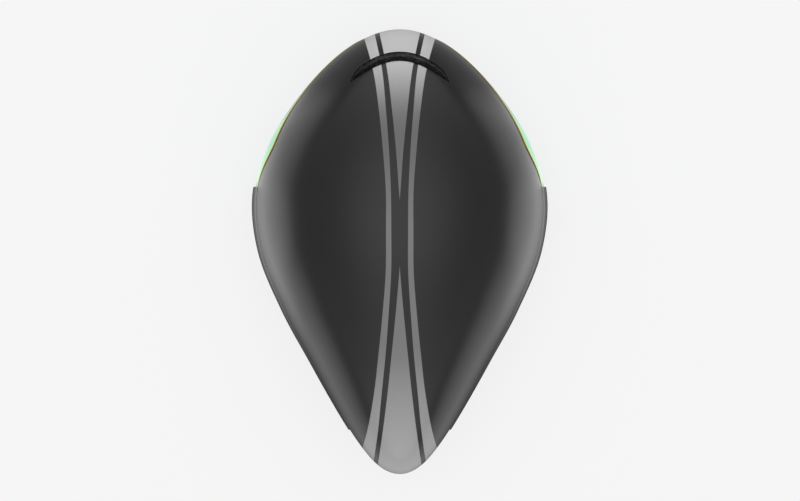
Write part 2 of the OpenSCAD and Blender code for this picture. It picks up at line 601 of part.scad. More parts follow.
module cradle_cover() color([.15, .15, .16]) difference() {
    union() {
        translate([0, 0, dial_level]) plate(case_w, case_h, 6, case_y0, cover_back - case_y0);
        translate([-neck_w / 2, case_y1, dial_level + case_in_h + 1])
            cube([neck_w, cover_back - case_y1, neck_top - dial_level - case_in_h - 1]);
        translate([-strip_w / 2, case_y1, neck_top - bridge_t])
            cube([strip_w, bridge_end - case_y1, bridge_t]);
        arc_x(strip_r, strip_r + strip_t, strip_w, strip_low, strip_high);
    }
    translate([-case_w, case_y0 - 1, dial_level - case_in_h])
        cube([2 * case_w, case_y1 - case_y0 + 1, 2 * case_in_h]);
    translate([0, case_y0, dial_level]) rotate([-90, 0, 0])
        cylinder(r = shaft_r + run_gap, h = 20, $fn = 48);
}
module height_guide() color([.18, .18, .19]) difference() {
    arc_x(guide_in, guide_out, guide_w, guide_low, guide_high);
    arc_x(strip_r - free_gap, strip_r + strip_t + free_gap, strip_w + 2 * free_gap,
        guide_low - 2, guide_high + 2);
}
module nape_pad() translate([case_w / 2 - nape_w / 2 + 1, 0, dial_level])
    plate(nape_w, nape_h, 5, case_y0 - base_t - part_gap - nape_t, nape_t);
module nape_pad_left() color([.13, .13, .14]) nape_pad();
module nape_pad_right() color([.13, .13, .14]) mirror([1, 0, 0]) nape_pad();

// Dial: an involute pinion on its shaft, with a scalloped knob
tip_r = pitch_r + gear_module;
base_circle = pitch_r * cos(20);
root_r = pitch_r - .75;
function inv(r) = let (a = acos(min(1, base_circle / r))) tan(a) * 180 / PI - a;
function flank(r) = 90 / pinion_teeth - backlash / 2 / pitch_r * 180 / PI
    + inv(pitch_r) - inv(max(r, base_circle));
flank_r = [root_r, base_circle, (base_circle + pitch_r) / 2, pitch_r, (pitch_r + tip_r) / 2, tip_r];
module pinion_outline() polygon([for (k = [0:pinion_teeth - 1]) let (c = 90 + 360 * k / pinion_teeth)
    each concat([for (r = flank_r) r * [cos(c - flank(r)), sin(c - flank(r))]],
        [for (i = [5:-1:0]) let (r = flank_r[i]) r * [cos(c + flank(r)), sin(c + flank(r))]])]);
module dial_pinion() color([.75, .75, .76]) translate([0, 0, dial_level]) {
    translate([0, rack_y + rack_t / 2 - .2, 0]) rotate([90, 0, 0])
        linear_extrude(rack_t - .4) pinion_outline();
    translate([0, case_y0 - base_t + .4, 0]) rotate([-90, 0, 0])
        cylinder(r = shaft_r, h = knob_y + 4 - case_y0 + base_t - .4, $fn = 48);
}
scallops = 18;
module dial_knob() color([.1, .1, .11]) translate([0, knob_y, dial_level]) rotate([-90, 0, 0]) difference() {
    rotate_extrude($fn = 96) polygon([[0, 0], [dial_r - 2, 0], [dial_r, 1.5], [dial_r, dial_depth - 2.5],
        [dial_r - 2.5, dial_depth], [0, dial_depth]]);
    translate([0, 0, -1]) cylinder(r = shaft_r + run_gap, h = 5.3, $fn = 48);
    for (i = [0:scallops - 1]) rotate([0, 0, 360 * i / scallops]) translate([dial_r + .9, 0, -1])
        cylinder(r = 1.7, h = dial_depth + 2, $fn = 16);
}

// Straps: two from the liner to each divider, and a chin loop that turns on the dividers' pins
foam_face = cover_gap - part_gap - ear_foam;
divider_wall = 1.2;
divider_w = 36;
divider_rear = divider_w / 2 - pivot_forward;
slot_play = .15;
strap_x = at_level(0, divider_rear, foam_low, foam_face)[0] - free_gap - divider_wall - web_t / 2;
web_low = 1;
pivot_z = web_low + web_w / 2;
divider_low = 2;
divider_top = web_w + 12;
slot_z = web_w - 1.2;
rim_z = liner_hem - part_gap;
front_top = [-42, rim_z - 4];
front_end = [-pivot_forward - 11.6, web_w + 3];
rear_anchor_y = 52;
// The rear anchors hang from the hem, this far inside the ear foam
rear_anchor_gap = 6.2;
rear_anchor_x = at_level(0, rear_anchor_y, foam_top, foam_face)[0] - rear_anchor_gap;
rear_top = [rear_anchor_x, rear_anchor_y, rim_z - web_w / 2 - 6];
rear_end = -pivot_forward + 4;
function plane_strap(p, q, w) = let (d = unit(q - p), s = w / 2 * [-d[1], d[0]])
    [p + s, q + s, q - s, p - s];
module in_plane_x(x, t) translate([x - t / 2, 0, 0]) rotate([90, 0, 90]) linear_extrude(t) children();
module front_strap() in_plane_x(strap_x, web_t) polygon(plane_strap(front_top, front_end, web_w));
rear_path = [[strap_x, rear_end, web_w + 7], [strap_x, divider_rear + 1.5, web_w + 9],
    [strap_x - 1, divider_rear + 8, web_w + 10], rear_top];
module rear_strap() ribbon(rear_path, web_w + .8, web_t);
module front_strap_left() color([.09, .09, .1]) front_strap();
module front_strap_right() color([.09, .09, .1]) mirror([1, 0, 0]) front_strap();
module rear_strap_left() color([.09, .09, .1]) rear_strap();
module rear_strap_right() color([.09, .09, .1]) mirror([1, 0, 0]) rear_strap();
anchor_t = web_t + 2 * divider_wall;
anchor_h = 10;
anchor_lip = 2;
rear_low = rear_top[2] - web_w / 2 - 3.6;
module strap_anchors() color([.16, .16, .17]) both_sides() {
    difference() {
        translate([strap_x - anchor_t / 2, front_top[0] - web_w / 2 - 4, rim_z - anchor_h])
            cube([anchor_t, web_w + 8, anchor_h]);
        translate([strap_x - web_t / 2 - slot_play, front_top[0] - web_w, rim_z - anchor_h - 1])
            cube([web_t + 2 * slot_play, 2 * web_w, anchor_h - 3 + slot_play + .2 * web_w]);
    }
    rear_dir = rear_path[3] - rear_path[2];
    translate([rear_top[0], rear_top[1], 0])
        rotate([0, 0, atan2(rear_dir[1], rear_dir[0]) - 90]) difference() {
        translate([-anchor_t / 2, -5, rear_low]) cube([anchor_t, 5 + anchor_lip, rim_z - rear_low]);
        translate([-web_t / 2 - slot_play, -6, rear_low + 1.4])
            cube([web_t + 2 * slot_play, 6.2, web_w + 3.6]);
    }
}
pin_r = 3;
lug_t = 3.4;
lug_x1 = strap_x - web_t / 2 - divider_wall - part_gap;
chin_x = lug_x1 - lug_t / 2;
module divider() difference() {
    union() {
        in_plane_x(strap_x, anchor_t) translate([-pivot_forward, (divider_low + divider_top) / 2])
            rounded(divider_w, divider_top - divider_low, 6);
        translate([0, -pivot_forward, pivot_z]) {
            rod_x(pin_r, chin_x - lug_t / 2 - part_gap - 1, strap_x);
            rod_x(pin_r + 1.5, chin_x - lug_t / 2 - part_gap - 1.2, chin_x - lug_t / 2 - part_gap);
        }
    }
    translate([strap_x - web_t / 2 - slot_play, -pivot_forward - divider_w, slot_z])
        cube([web_t + 2 * slot_play, 2 * divider_w, divider_top]);
}
module divider_left() color([.12, .12, .13]) divider();
module divider_right() color([.12, .12, .13]) mirror([1, 0, 0]) divider();
lug_r = web_w / 2;
lug_front = pivot_forward + 15;
module chin_lug() difference() {
    in_plane_x(chin_x, lug_t) {
        translate([-pivot_forward, pivot_z]) circle(lug_r, $fn = 64);
        translate([-lug_front, web_low]) square([lug_front - pivot_forward, web_w]);
    }
    translate([0, -pivot_forward, pivot_z]) rod_x(pin_r + run_gap, 0, 2 * chin_x);
    translate([chin_x - web_t / 2 - slot_play, -lug_front - 1, -1])
        cube([web_t + 2 * slot_play, 8, web_w + 4]);
}
module chin_lug_left() color([.12, .12, .13]) chin_lug();
module chin_lug_right() color([.12, .12, .13]) mirror([1, 0, 0]) chin_lug();
buckle_x = -2;
buckle_low = .3;
buckle_h = web_w + 4;
// The tongue's reach into the socket, its length outside, its thickness and its lift off the floor
tongue_in = 14.5;
tongue_out = 18;
tongue_t = 4;
tongue_lift = 4;
tongue_play = .25;
chin_forward = half_l - chin_setback;
left_end = buckle_x + socket_len - 3;
right_end = tongue_out - buckle_x - 3.5;
bend_r = min(chin_bend, chin_x - left_end - 1);
bend_x = chin_x - bend_r;
bend_y = bend_r - chin_forward;
function chin_path(x_end) = concat([[chin_x, -lug_front + 6, pivot_z]],
    [for (i = [0:12]) [bend_x + bend_r * cos(7.5 * i), bend_y - bend_r * sin(7.5 * i), pivot_z]],
    [[x_end, -chin_forward, pivot_z]]);
module chin_run(x_end) ribbon([for (p = chin_path(x_end)) [-p[0], p[1], p[2]]], web_w, web_t);
module chin_strap_left() color([.09, .09, .1]) mirror([1, 0, 0]) chin_run(left_end);
module chin_strap_right() color([.09, .09, .1]) chin_run(right_end);
module web_slot(x, l) translate([x, -chin_forward - web_t / 2 - slot_play, web_low - slot_play])
    cube([l, web_t + 2 * slot_play, web_w + 2 * slot_play]);
module buckle_block(x, l, t) translate([x + l / 2, 0, buckle_low + buckle_h / 2])
    plate(l, buckle_h, 3, -chin_forward - t / 2, t);
cap_t = 1.2;
cap_r = 4.5;
cap_x = buckle_x + 8;
module buckle_socket() color([.1, .1, .11]) difference() {
    buckle_block(buckle_x, socket_len, buckle_t);
    translate([buckle_x - 1, -chin_forward - tongue_t / 2 - tongue_play, buckle_low + tongue_lift - part_gap])
        cube([tongue_in + 1.5, tongue_t + 2 * tongue_play, buckle_h]);
    web_slot(buckle_x + socket_len - 3.5, 5);
    translate([cap_x, -chin_forward - buckle_t / 2 - 1, buckle_low + buckle_h / 2]) rotate([-90, 0, 0])
        cylinder(r = cap_r + run_gap, h = 1 + cap_t + run_gap, $fn = 48);
}
module socket_magnet() color([.6, .6, .62])
    translate([cap_x, -chin_forward - buckle_t / 2, buckle_low + buckle_h / 2])
    rotate([-90, 0, 0]) cylinder(r = cap_r, h = cap_t, $fn = 48);
module buckle_tongue() color([.1, .1, .11]) difference() {
    union() {
        buckle_block(buckle_x - tongue_out - .5, tongue_out, tongue_t);
        translate([buckle_x - 4, -chin_forward - tongue_t / 2, buckle_low + tongue_lift])
            cube([tongue_in + 4, tongue_t, buckle_h - tongue_lift - 1]);
    }
    web_slot(buckle_x - tongue_out - 1.5, 5);
    translate([cap_x, -chin_forward - tongue_t / 2 - 1, buckle_low + buckle_h / 2]) rotate([-90, 0, 0])
        cylinder(r = cap_r + run_gap, h = 1 + cap_t + run_gap, $fn = 48);
}
module tongue_magnet() color([.6, .6, .62])
    translate([cap_x, -chin_forward - tongue_t / 2, buckle_low + buckle_h / 2])
    rotate([-90, 0, 0]) cylinder(r = cap_r, h = cap_t, $fn = 48);
module chin_pad() color([.14, .14, .15]) translate([buckle_x + socket_len / 2, 0, buckle_low + buckle_h / 2])
    plate(socket_len - 4, web_w + 1, 5, -chin_forward + buckle_t / 2 + part_gap, 4);
keeper_wall = .9;
module strap_keeper() color([.08, .08, .09]) difference() {
    translate([chin_x - web_t / 2 - keeper_wall, -lug_front - 14, web_low - keeper_wall + .1])
        cube([web_t + 2 * keeper_wall, 6, web_w + 2 * keeper_wall - .2]);
    translate([chin_x - web_t / 2 - slot_play, -lug_front - 15, web_low - slot_play])
        cube([web_t + 2 * slot_play, 8, web_w + 2 * slot_play]);
}

outer_shell();
foam_liner();
side_cover_left();
side_cover_right();
ear_foam_left();
ear_foam_right();
tail_panel();
shell_magnets();
brow_pad();
crown_pad_left();
crown_pad_right();
side_pad_left();
side_pad_right();
pad_patches();
temple_bushes();
height_guide();
strap_anchors();
front_strap_left();
front_strap_right();
rear_strap_left();
rear_strap_right();
divider_left();
divider_right();
visor_lens();
visor_plates();
cradle_base();
cradle_cover();
nape_pad_left();
nape_pad_right();
band_left();
band_right();
dial_knob();
dial_pinion();
chin_lug_left();
chin_lug_right();
chin_strap_left();
chin_strap_right();
buckle_socket();
socket_magnet();
chin_pad();
strap_keeper();
buckle_tongue();
tongue_magnet();
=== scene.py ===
import math

import bmesh
import bpy
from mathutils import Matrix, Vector


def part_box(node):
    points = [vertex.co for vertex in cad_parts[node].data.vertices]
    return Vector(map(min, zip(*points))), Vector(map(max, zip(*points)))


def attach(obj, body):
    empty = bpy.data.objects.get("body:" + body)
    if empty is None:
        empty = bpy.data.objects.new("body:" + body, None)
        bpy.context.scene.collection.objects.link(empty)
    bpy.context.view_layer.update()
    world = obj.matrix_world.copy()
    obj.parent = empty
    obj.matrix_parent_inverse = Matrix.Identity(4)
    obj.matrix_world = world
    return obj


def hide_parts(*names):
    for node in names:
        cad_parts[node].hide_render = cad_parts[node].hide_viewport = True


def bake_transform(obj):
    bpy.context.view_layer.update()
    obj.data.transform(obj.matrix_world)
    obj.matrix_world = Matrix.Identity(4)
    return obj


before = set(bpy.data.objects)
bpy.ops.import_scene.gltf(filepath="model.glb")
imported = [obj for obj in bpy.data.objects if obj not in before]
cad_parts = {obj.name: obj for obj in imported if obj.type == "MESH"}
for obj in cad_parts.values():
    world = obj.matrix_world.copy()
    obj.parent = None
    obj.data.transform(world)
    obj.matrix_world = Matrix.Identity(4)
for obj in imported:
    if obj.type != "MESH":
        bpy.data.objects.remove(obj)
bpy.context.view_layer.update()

# Camera, floor and lamps.
# The helmet stands on a pale studio table inside a dim white tent and is seen from straight above,
# nose upwards, through a long lens. In gloss the table carries painted shade close to the helmet,
# painted light a little further out and painted dimming far out.
photo_width = .56
photo_middle = (-.0002, -.0009, .075)
camera_height = 9.0
camera_data = bpy.data.cameras.new("camera")
camera_data.sensor_width = 36
camera_data.lens = camera_data.sensor_width * camera_height / photo_width
camera_data.clip_start = .1
camera_data.clip_end = 60
camera = bpy.data.objects.new("camera", camera_data)
camera.location = Vector(photo_middle) + Vector((0, 0, camera_height))
camera.rotation_euler = (0, 0, math.pi)
bpy.context.scene.collection.objects.link(camera)
bpy.context.scene.camera = camera
bpy.context.scene.view_settings.view_transform = "Standard"


def feed(tree, socket, value):
    """Links the socket to another one, or sets it to a plain number or colour."""
    if isinstance(value, bpy.types.NodeSocket):
        tree.links.new(value, socket)
    elif socket.type == "RGBA" and len(value) == 3:
        socket.default_value = (*value, 1)
    else:
        socket.default_value = value


def add(tree, kind, **inputs):
    """A new shader node whose inputs are fed by other nodes' sockets or by plain values."""
    node = tree.nodes.new(kind)
    for name, value in inputs.items():
        feed(tree, node.inputs[name.replace("_", " ")], value)
    return node


def maths(tree, operation, *values, clamp=False):
    node = tree.nodes.new("ShaderNodeMath")
    node.operation = operation
    node.use_clamp = clamp
    for socket, value in zip(node.inputs, values):
        feed(tree, socket, value)
    return node.outputs[0]


def fade(tree, value, start, end, before=0, after=1):
    """Goes from before to after while the value goes from start to end, and is level beyond them."""
    node = add(tree, "ShaderNodeMapRange", Value=value, From_Min=start, From_Max=end, To_Min=before,
               To_Max=after)
    return node.outputs["Result"]


def mix_shaders(tree, share, first, second):
    node = tree.nodes.new("ShaderNodeMixShader")
    for socket, value in zip(node.inputs, (share, first.outputs[0], second.outputs[0])):
        feed(tree, socket, value)
    return node.outputs[0]


def new_paint(name):
    """An empty material, with its tree, its output and the place on the object."""
    paint = bpy.data.materials.new(name)
    paint.use_nodes = True
    tree = paint.node_tree
    tree.nodes.clear()
    surface_in = tree.nodes.new("ShaderNodeOutputMaterial").inputs["Surface"]
    return paint, tree, surface_in, tree.nodes.new("ShaderNodeTexCoord").outputs["Object"]


def pale_table(colour, seen_share):
    """Plain diffuse, which keeps the shadow, under flat pale light for seen rays. In gloss the table
    shows painted shade beside the covers and before the nose, painted light beyond them and painted
    dimming far out."""
    oval_half_wide, oval_half_long = .102, .155
    paint, tree, surface_in, place = new_paint("pale_floor")
    oval = add(tree, "ShaderNodeMapping", Vector=place, Scale=(1 / oval_half_wide, 1 / oval_half_long, 0))
    away = tree.nodes.new("ShaderNodeVectorMath")
    away.operation = "LENGTH"
    tree.links.new(oval.outputs[0], away.inputs[0])
    distance = away.outputs["Value"]
    axes = add(tree, "ShaderNodeSeparateXYZ", Vector=place)
    x, y = axes.outputs["X"], axes.outputs["Y"]
    # Painted shade and painted light on the table, for gloss only: near is shade next to the helmet, lifted
    # under the visor, before_nose is shade ahead of the nose, middle is light beside the helmet's middle,
    # and far dims the table far out.
    far = fade(tree, distance, 2.6, 8, 1, .2)
    near = fade(tree, distance, 1, 1.6, .02, 1)
    under_visor = fade(tree, y, -.052, -.042, 1, 0)
    before_nose = fade(tree, maths(tree, "ADD", maths(tree, "ABSOLUTE", x), y), -.05, 0, .25, 1)
    middle = fade(tree, maths(tree, "ABSOLUTE", maths(tree, "ADD", y, .01)), .05, .11, 1.2, .72)
    by_visor = maths(tree, "MULTIPLY", fade(tree, distance, 1.3, 1.5, 1, 0), under_visor)
    level = maths(tree, "MULTIPLY", far, maths(tree, "MAXIMUM", near, under_visor))
    level = maths(tree, "MULTIPLY", level, before_nose)
    level = maths(tree, "MULTIPLY", level, maths(tree, "MAXIMUM", middle, by_visor))
    path = tree.nodes.new("ShaderNodeLightPath")
    gloss = path.outputs["Is Glossy Ray"]
    seen = maths(tree, "MAXIMUM", path.outputs["Is Camera Ray"], gloss)
    seen = maths(tree, "MAXIMUM", seen, path.outputs["Is Transmission Ray"])
    # How much the painted shade lowers, or the painted light raises, the pale table seen in gloss.
    loss = maths(tree, "MULTIPLY", gloss, maths(tree, "SUBTRACT", 1, level))
    diffuse = add(tree, "ShaderNodeBsdfDiffuse", Color=colour)
    pale = add(tree, "ShaderNodeEmission", Color=colour, Strength=maths(tree, "SUBTRACT", 1, loss))
    tree.links.new(mix_shaders(tree, maths(tree, "MULTIPLY", seen, seen_share), diffuse, pale), surface_in)
    return paint


floor_half = 12.0
floor_mesh = bpy.data.meshes.new("floor")
corners = [(-1, -1), (1, -1), (1, 1), (-1, 1)]
floor_mesh.from_pydata([(x * floor_half, y * floor_half, 0) for x, y in corners], [], [(0, 1, 2, 3)])
floor = bpy.data.objects.new("floor", floor_mesh)
floor.location.z = -.0003
floor.data.materials.append(pale_table((.948, .948, .95), .85))
bpy.context.scene.collection.objects.link(floor)

world = bpy.data.worlds.new("studio")
bpy.context.scene.world = world
world.use_nodes = True
sky = world.node_tree
sky.nodes.clear()
sky_way = add(sky, "ShaderNodeSeparateXYZ", Vector=sky.nodes.new("ShaderNodeTexCoord").outputs["Generated"])
sky_overhead = maths(sky, "POWER", sky_way.outputs["Z"], 4, clamp=True)
sky_ends = maths(sky, "POWER", maths(sky, "ABSOLUTE", sky_way.outputs["Y"]), 4)
sky_level = maths(sky, "ADD", maths(sky, "MULTIPLY_ADD", sky_overhead, .42, .20),
                  maths(sky, "MULTIPLY", sky_ends, .6))
sky_light = add(sky, "ShaderNodeBackground", Color=(.99, .99, 1), Strength=sky_level)
sky_seen = add(sky, "ShaderNodeBackground", Color=(.93, .93, .932), Strength=1)
sky_path = sky.nodes.new("ShaderNodeLightPath")
sky.links.new(mix_shaders(sky, sky_path.outputs["Is Camera Ray"], sky_light, sky_seen),
              sky.nodes.new("ShaderNodeOutputWorld").inputs["Surface"])

fill_data = bpy.data.lights.new("top_fill", "AREA")
fill_data.size = 2.4
fill_data.energy = 24
top_fill = bpy.data.objects.new("top_fill", fill_data)
top_fill.location = (0, 0, 2)
top_fill.visible_glossy = False
bpy.context.scene.collection.objects.link(top_fill)

# Outer shell.
# The real shell is one sheet of polycarbonate, vacuum-formed and trimmed, painted matt
# graphite with a pair of light stripes and a light wedge at each end, and bonded to the foam.
half_length = .1555
half_width = .1018
crown_height = .178
widest_level = .058
nose_level = .088
tail_level = .080
shell_wall = .002


def sin_deg(a):
    return math.sin(math.radians(a))


def cos_deg(a):
    return math.cos(math.radians(a))


def smooth_through(before, start, end, after, t):
    """The curve from start to end that also heads for its neighbours, at t from 0 to 1."""
    return (2 * start + (end - before) * t + (2 * before - 5 * start + 4 * end - after) * t * t
            + (3 * start - before - 3 * end + after) * t ** 3) / 2


def along(values, share):
    """A smooth curve through evenly spaced values, read at a share from 0 to 1 of its length."""
    last = len(values) - 1
    place = min(max(share * last, 0), last - 1e-6)
    i = int(place)
    before = 2 * values[0] - values[1] if i == 0 else values[i - 1]
    after = 2 * values[last] - values[last - 1] if i + 2 > last else values[i + 2]
    return smooth_through(before, values[i], values[i + 1], after, place - i)


def ease(keys, y):
    """A height that eases from one key point to the next along Y."""
    if y <= keys[0][0]:
        return keys[0][1]
    for (y0, z0), (y1, z1) in zip(keys, keys[1:]):
        if y <= y1:
            t = (y - y0) / (y1 - y0)
            return z0 + (z1 - z0) * t * t * (3 - 2 * t)
    return keys[-1][1]


class RoundForm:
    """A rounded body of stations from the nose at 0 degrees to the tail at 180. Each station's
    section is superelliptic."""
    square_up = 2.2
    square_low = 2.4

    def station_y(self, th, e):
        return self.mid_y - (self.reach + e) * cos_deg(th)

    def station(self, y, e=0):
        return math.degrees(math.acos(max(-1, min(1, (self.mid_y - y) / (self.reach + e)))))

    def lean(self, th, z, e):
        up = z - self.level(th)
        if up >= 0:
            return math.degrees(math.asin(min(1, up / self.rise(th, e)) ** (self.square_up / 2)))
        return -math.degrees(math.asin(min(1, -up / self.drop(th, e)) ** (self.square_low / 2)))

    def point(self, th, ph, e):
        c, d = cos_deg(ph), sin_deg(ph)
        square = self.square_low if d < 0 else self.square_up
        height = -self.drop(th, e) if d < 0 else self.rise(th, e)
        x = math.copysign(self.wide(th, e) * abs(c) ** (2 / square), c)
        return Vector((x, self.station_y(th, e), self.level(th) + height * abs(d) ** (2 / square)))

    def at_level(self, y, z, e):
        th = self.station(y, e)
        return self.point(th, self.lean(th, z, e), e)

    def roof(self, x, y):
        th = self.station(y)
        share = min(1, abs(x) / self.wide(th, 0))
        return self.point(th, math.degrees(math.acos(share ** (self.square_up / 2))), 0).z

    def holds(self, x, y, z, e):
        if abs(y - self.mid_y) >= self.reach + e:
            return False
        th = self.station(y, e)
        up = z - self.level(th)
        height = self.drop(th, e) if up < 0 else self.rise(th, e)
        square = self.square_low if up < 0 else self.square_up
        if abs(up) >= height:
            return False
        return (abs(x) / self.wide(th, e)) ** square + (abs(up) / height) ** square < 1

    def ray(self, from_y, az, z, e):
        """Where a level ray from (0, from_y), at az degrees from straight ahead, leaves the form."""
        near, far = 0, 2 * half_length
        for _ in range(17):
            r = (near + far) / 2
            if self.holds(r * sin_deg(az), from_y - r * cos_deg(az), z, e):
                near = r
            else:
                far = r
        r = (near + far) / 2
        return Vector((r * sin_deg(az), from_y - r * cos_deg(az), z))


class ShellForm(RoundForm):
    mid_y = 0
    reach = half_length
    belly = .115
    plan_shares = [0, .218, .449, .676, .887, .998, .962, .8045, .607, .43, .275, .1375, 0]
    crown_shares = [0, .342, .608, .815, .944, 1, .996, .917, .773, .583, .39, .214, 0]
    belly_shares = [0, .45, .74, .91, .98, 1, 1, .97, .91, .8, .59, .33, 0]
    nose_shares = [1, .93, .77, .4, .1, -.03, 0, 0, 0, 0, 0, 0, 0]
    tail_shares = [0, 0, 0, 0, 0, 0, 0, .23, .55, .77, .91, 1, 1]

    def level(self, th):
        return (widest_level + (nose_level - widest_level) * along(self.nose_shares, th / 180)
                + (tail_level - widest_level) * along(self.tail_shares, th / 180))

    def wide(self, th, e):
        return (half_width + e) * along(self.plan_shares, th / 180)

    def rise(self, th, e):
        return (crown_height - self.level(th) + e) * along(self.crown_shares, th / 180)

    def drop(self, th, e):
        return (self.belly + e) * along(self.belly_shares, th / 180)


shell_form = ShellForm()
cover_top = .082
cover_lap = .004
cover_front = .0455
cover_rear = .1245
shell_keys = [(-half_length, nose_level), (-.110, .0905), (-.075, .1005),
              (-cover_front, cover_top + .0025), (.0115 - cover_front, cover_top - cover_lap - .001),
              (cover_rear, cover_top - cover_lap), (half_length, tail_level)]

# Crescent intake: its two edges in plan, and the lift of the shell behind and ahead of it
intake_half = .0346
front_edge_y = -.1393
rear_edge_y = -.1326


def intake_front(x):
    return front_edge_y + 13.3 * x * x + .0055 * (abs(x) / intake_half) ** 14


def intake_rear(x):
    return rear_edge_y + 15.5 * x * x - 2300 * x ** 4


def intake_lift(x, y):
    """The shell stands a little proud behind the intake and dips a little ahead of it."""
    across = 1 - (x / (intake_half + .006)) ** 2
    if across <= 0 or y > -.09:
        return 0
    front, rear = intake_front(min(abs(x), intake_half)), intake_rear(min(abs(x), intake_half))
    if y < front:
        lift = -.0007 * math.exp(-((front - y) / .005) ** 2)
    elif y > rear:
        lift = .0011 * math.exp(-((y - rear) / .007) ** 2)
    else:
        lift = -.0007 + .0018 * (y - front) / max(rear - front, 1e-6)
    return lift * across * across


def arc_row(form, th, z, e, count):
    """One station's points from the edge at height z, over the crown, to the other edge."""
    low = form.lean(th, z, e)
    return [form.point(th, low + (180 - 2 * low) * j / count, e) for j in range(count + 1)]


def quad_faces(rows, columns, first, turned):
    faces = []
    for i in range(rows - 1):
        for j in range(columns - 1):
            a = first + i * columns + j
            face = (a, a + 1, a + columns + 1, a + columns)
            faces.append(face[::-1] if turned else face)
    return faces


def closed_sheet(name, outer, inner, tips=None):
    """A closed solid between two grids of points. tips are the outer nose and tail, then the inner."""
    n, m = len(outer), len(outer[0])
    k = n * m
    points = [p for row in outer for p in row] + [p for row in inner for p in row]
    faces = quad_faces(n, m, 0, False) + quad_faces(n, m, k, True)
    for i in range(n - 1):
        a, b = i * m, i * m + m - 1
        faces.append((a, a + m, a + m + k, a + k))
        faces.append((b + m, b, b + k, b + m + k))
    last = (n - 1) * m
    if tips is None:
        for j in range(m - 1):
            faces.append((j + 1, j, j + k, j + 1 + k))
            faces.append((last + j, last + j + 1, last + j + 1 + k, last + j + k))
    else:
        points += list(tips)
        nose_out, tail_out, nose_in, tail_in = range(2 * k, 2 * k + 4)
        for j in range(m - 1):
            faces += [(nose_out, j + 1, j), (last + j, last + j + 1, tail_out)]
            faces += [(nose_in, k + j, k + j + 1), (k + last + j + 1, k + last + j, tail_in)]
        faces += [(nose_out, 0, k, nose_in), (m - 1, nose_out, nose_in, k + m - 1)]
        faces += [(last, tail_out, tail_in, k + last)]
        faces += [(tail_out, last + m - 1, k + last + m - 1, tail_in)]
    return mesh_object(name, points, faces)


def mesh_object(name, points, faces):
    mesh = bpy.data.meshes.new(name)
    mesh.from_pydata([tuple(p) for p in points], [], faces)
    work = bmesh.new()
    work.from_mesh(mesh)
    bmesh.ops.recalc_face_normals(work, faces=work.faces)
    work.to_mesh(mesh)
    work.free()
    thing = bpy.data.objects.new(name, mesh)
    bpy.context.scene.collection.objects.link(thing)
    return thing


def settle(thing):
    """Puts the modifiers' result into the mesh itself."""
    bpy.context.view_layer.update()
    shown = thing.evaluated_get(bpy.context.evaluated_depsgraph_get())
    made = bpy.data.meshes.new_from_object(shown)
    thing.modifiers.clear()
    thing.data = made
    return thing


def round_edges(thing, width, segments=2, angle=40):
    bevel = thing.modifiers.new("rounded_edges", "BEVEL")
    bevel.width = width
    bevel.segments = segments
    bevel.limit_method = "ANGLE"
    bevel.angle_limit = math.radians(angle)
    bevel.use_clamp_overlap = True
    return settle(thing)


def carve(thing, cutters):
    """Takes each cutter out of the piece and throws the cutter away."""
    for cutter in cutters:
        cut = thing.modifiers.new("cut", "BOOLEAN")
        cut.operation = "DIFFERENCE"
        cut.solver = "MANIFOLD"
        cut.object = cutter
        settle(thing)
        bpy.data.objects.remove(cutter)
    return thing


def smooth_faces(thing, angle=35):
    """Smooth shading that stays crisp over edges sharper than the angle."""
    work = bmesh.new()
    work.from_mesh(thing.data)
    limit = math.radians(angle)
    for face in work.faces:
        face.smooth = True
    for edge in work.edges:
        edge.smooth = len(edge.link_faces) == 2 and edge.calc_face_angle(0) < limit
    work.to_mesh(thing.data)
    work.free()
    return thing


def ring_stack(name, rings, strips=False):
    """A closed solid through rings of equally many points. strips caps the ends crosswise, which
    suits a crescent."""
    m = len(rings[0])
    points = [p for ring in rings for p in ring]
    faces = []
    for first, turned in ((0, False), ((len(rings) - 1) * m, True)):
        caps = [tuple(range(first, first + m))]
        if strips:
            across = [(i, i + 1, (m - i - 1) % m, (m - i) % m) for i in range(m // 2)]
            caps = [tuple(first + k for k in dict.fromkeys(quad)) for quad in across]
        faces += [cap[::-1] if turned else cap for cap in caps]
    for i in range(len(rings) - 1):
        for j in range(m):
            a, b = i * m + j, i * m + (j + 1) % m
            faces.append((a, b, b + m, a + m))
    return mesh_object(name, points, faces)


def intake_outline(spread):
    """The crescent in plan as one closed loop, moved outwards by spread."""
    steps = 44
    xs = [-intake_half * math.cos(math.pi * i / steps) for i in range(steps + 1)]
    loop = [(x, intake_front(x)) for x in xs] + [(x, intake_rear(x)) for x in xs[-2:0:-1]]
    moved = []
    for i, (x, y) in enumerate(loop):
        ax, ay = loop[i - 1]
        bx, by = loop[(i + 1) % len(loop)]
        run = math.hypot(bx - ax, by - ay)
        moved.append((x + spread * (by - ay) / run, y - spread * (bx - ax) / run))
    return moved


def shell_surface(x, y):
    return shell_form.roof(x, y) + intake_lift(x, y)


def build_outer_shell():
    rows, arcs = 180, 128

    def sheet(e):
        made = []
        for i in range(1, rows):
            th = 180 * i / rows
            row = arc_row(shell_form, th, ease(shell_keys, shell_form.station_y(th, e)), e, arcs)
            for p in row:
                p.z += intake_lift(p.x, p.y) if p.z > .11 else 0
            made.append(row)
        return made

    tips = []
    for inset in (0, shell_wall):
        tips += [Vector((0, inset - half_length, nose_level)), Vector((0, half_length - inset, tail_level))]
    shell = closed_sheet("outer_shell_skin", sheet(0), sheet(-shell_wall), tips)
    round_edges(shell, .0005)
    bevelled = [(.0030, .0034), (.0007, .0010), (-.0004, 0), (-.006, 0)]
    rings = [[Vector((x, y, shell_surface(x, y) + up)) for x, y in intake_outline(spread)]
             for up, spread in bevelled]
    carve(shell, [ring_stack("intake_cutter", rings, True)])
    return smooth_faces(shell)


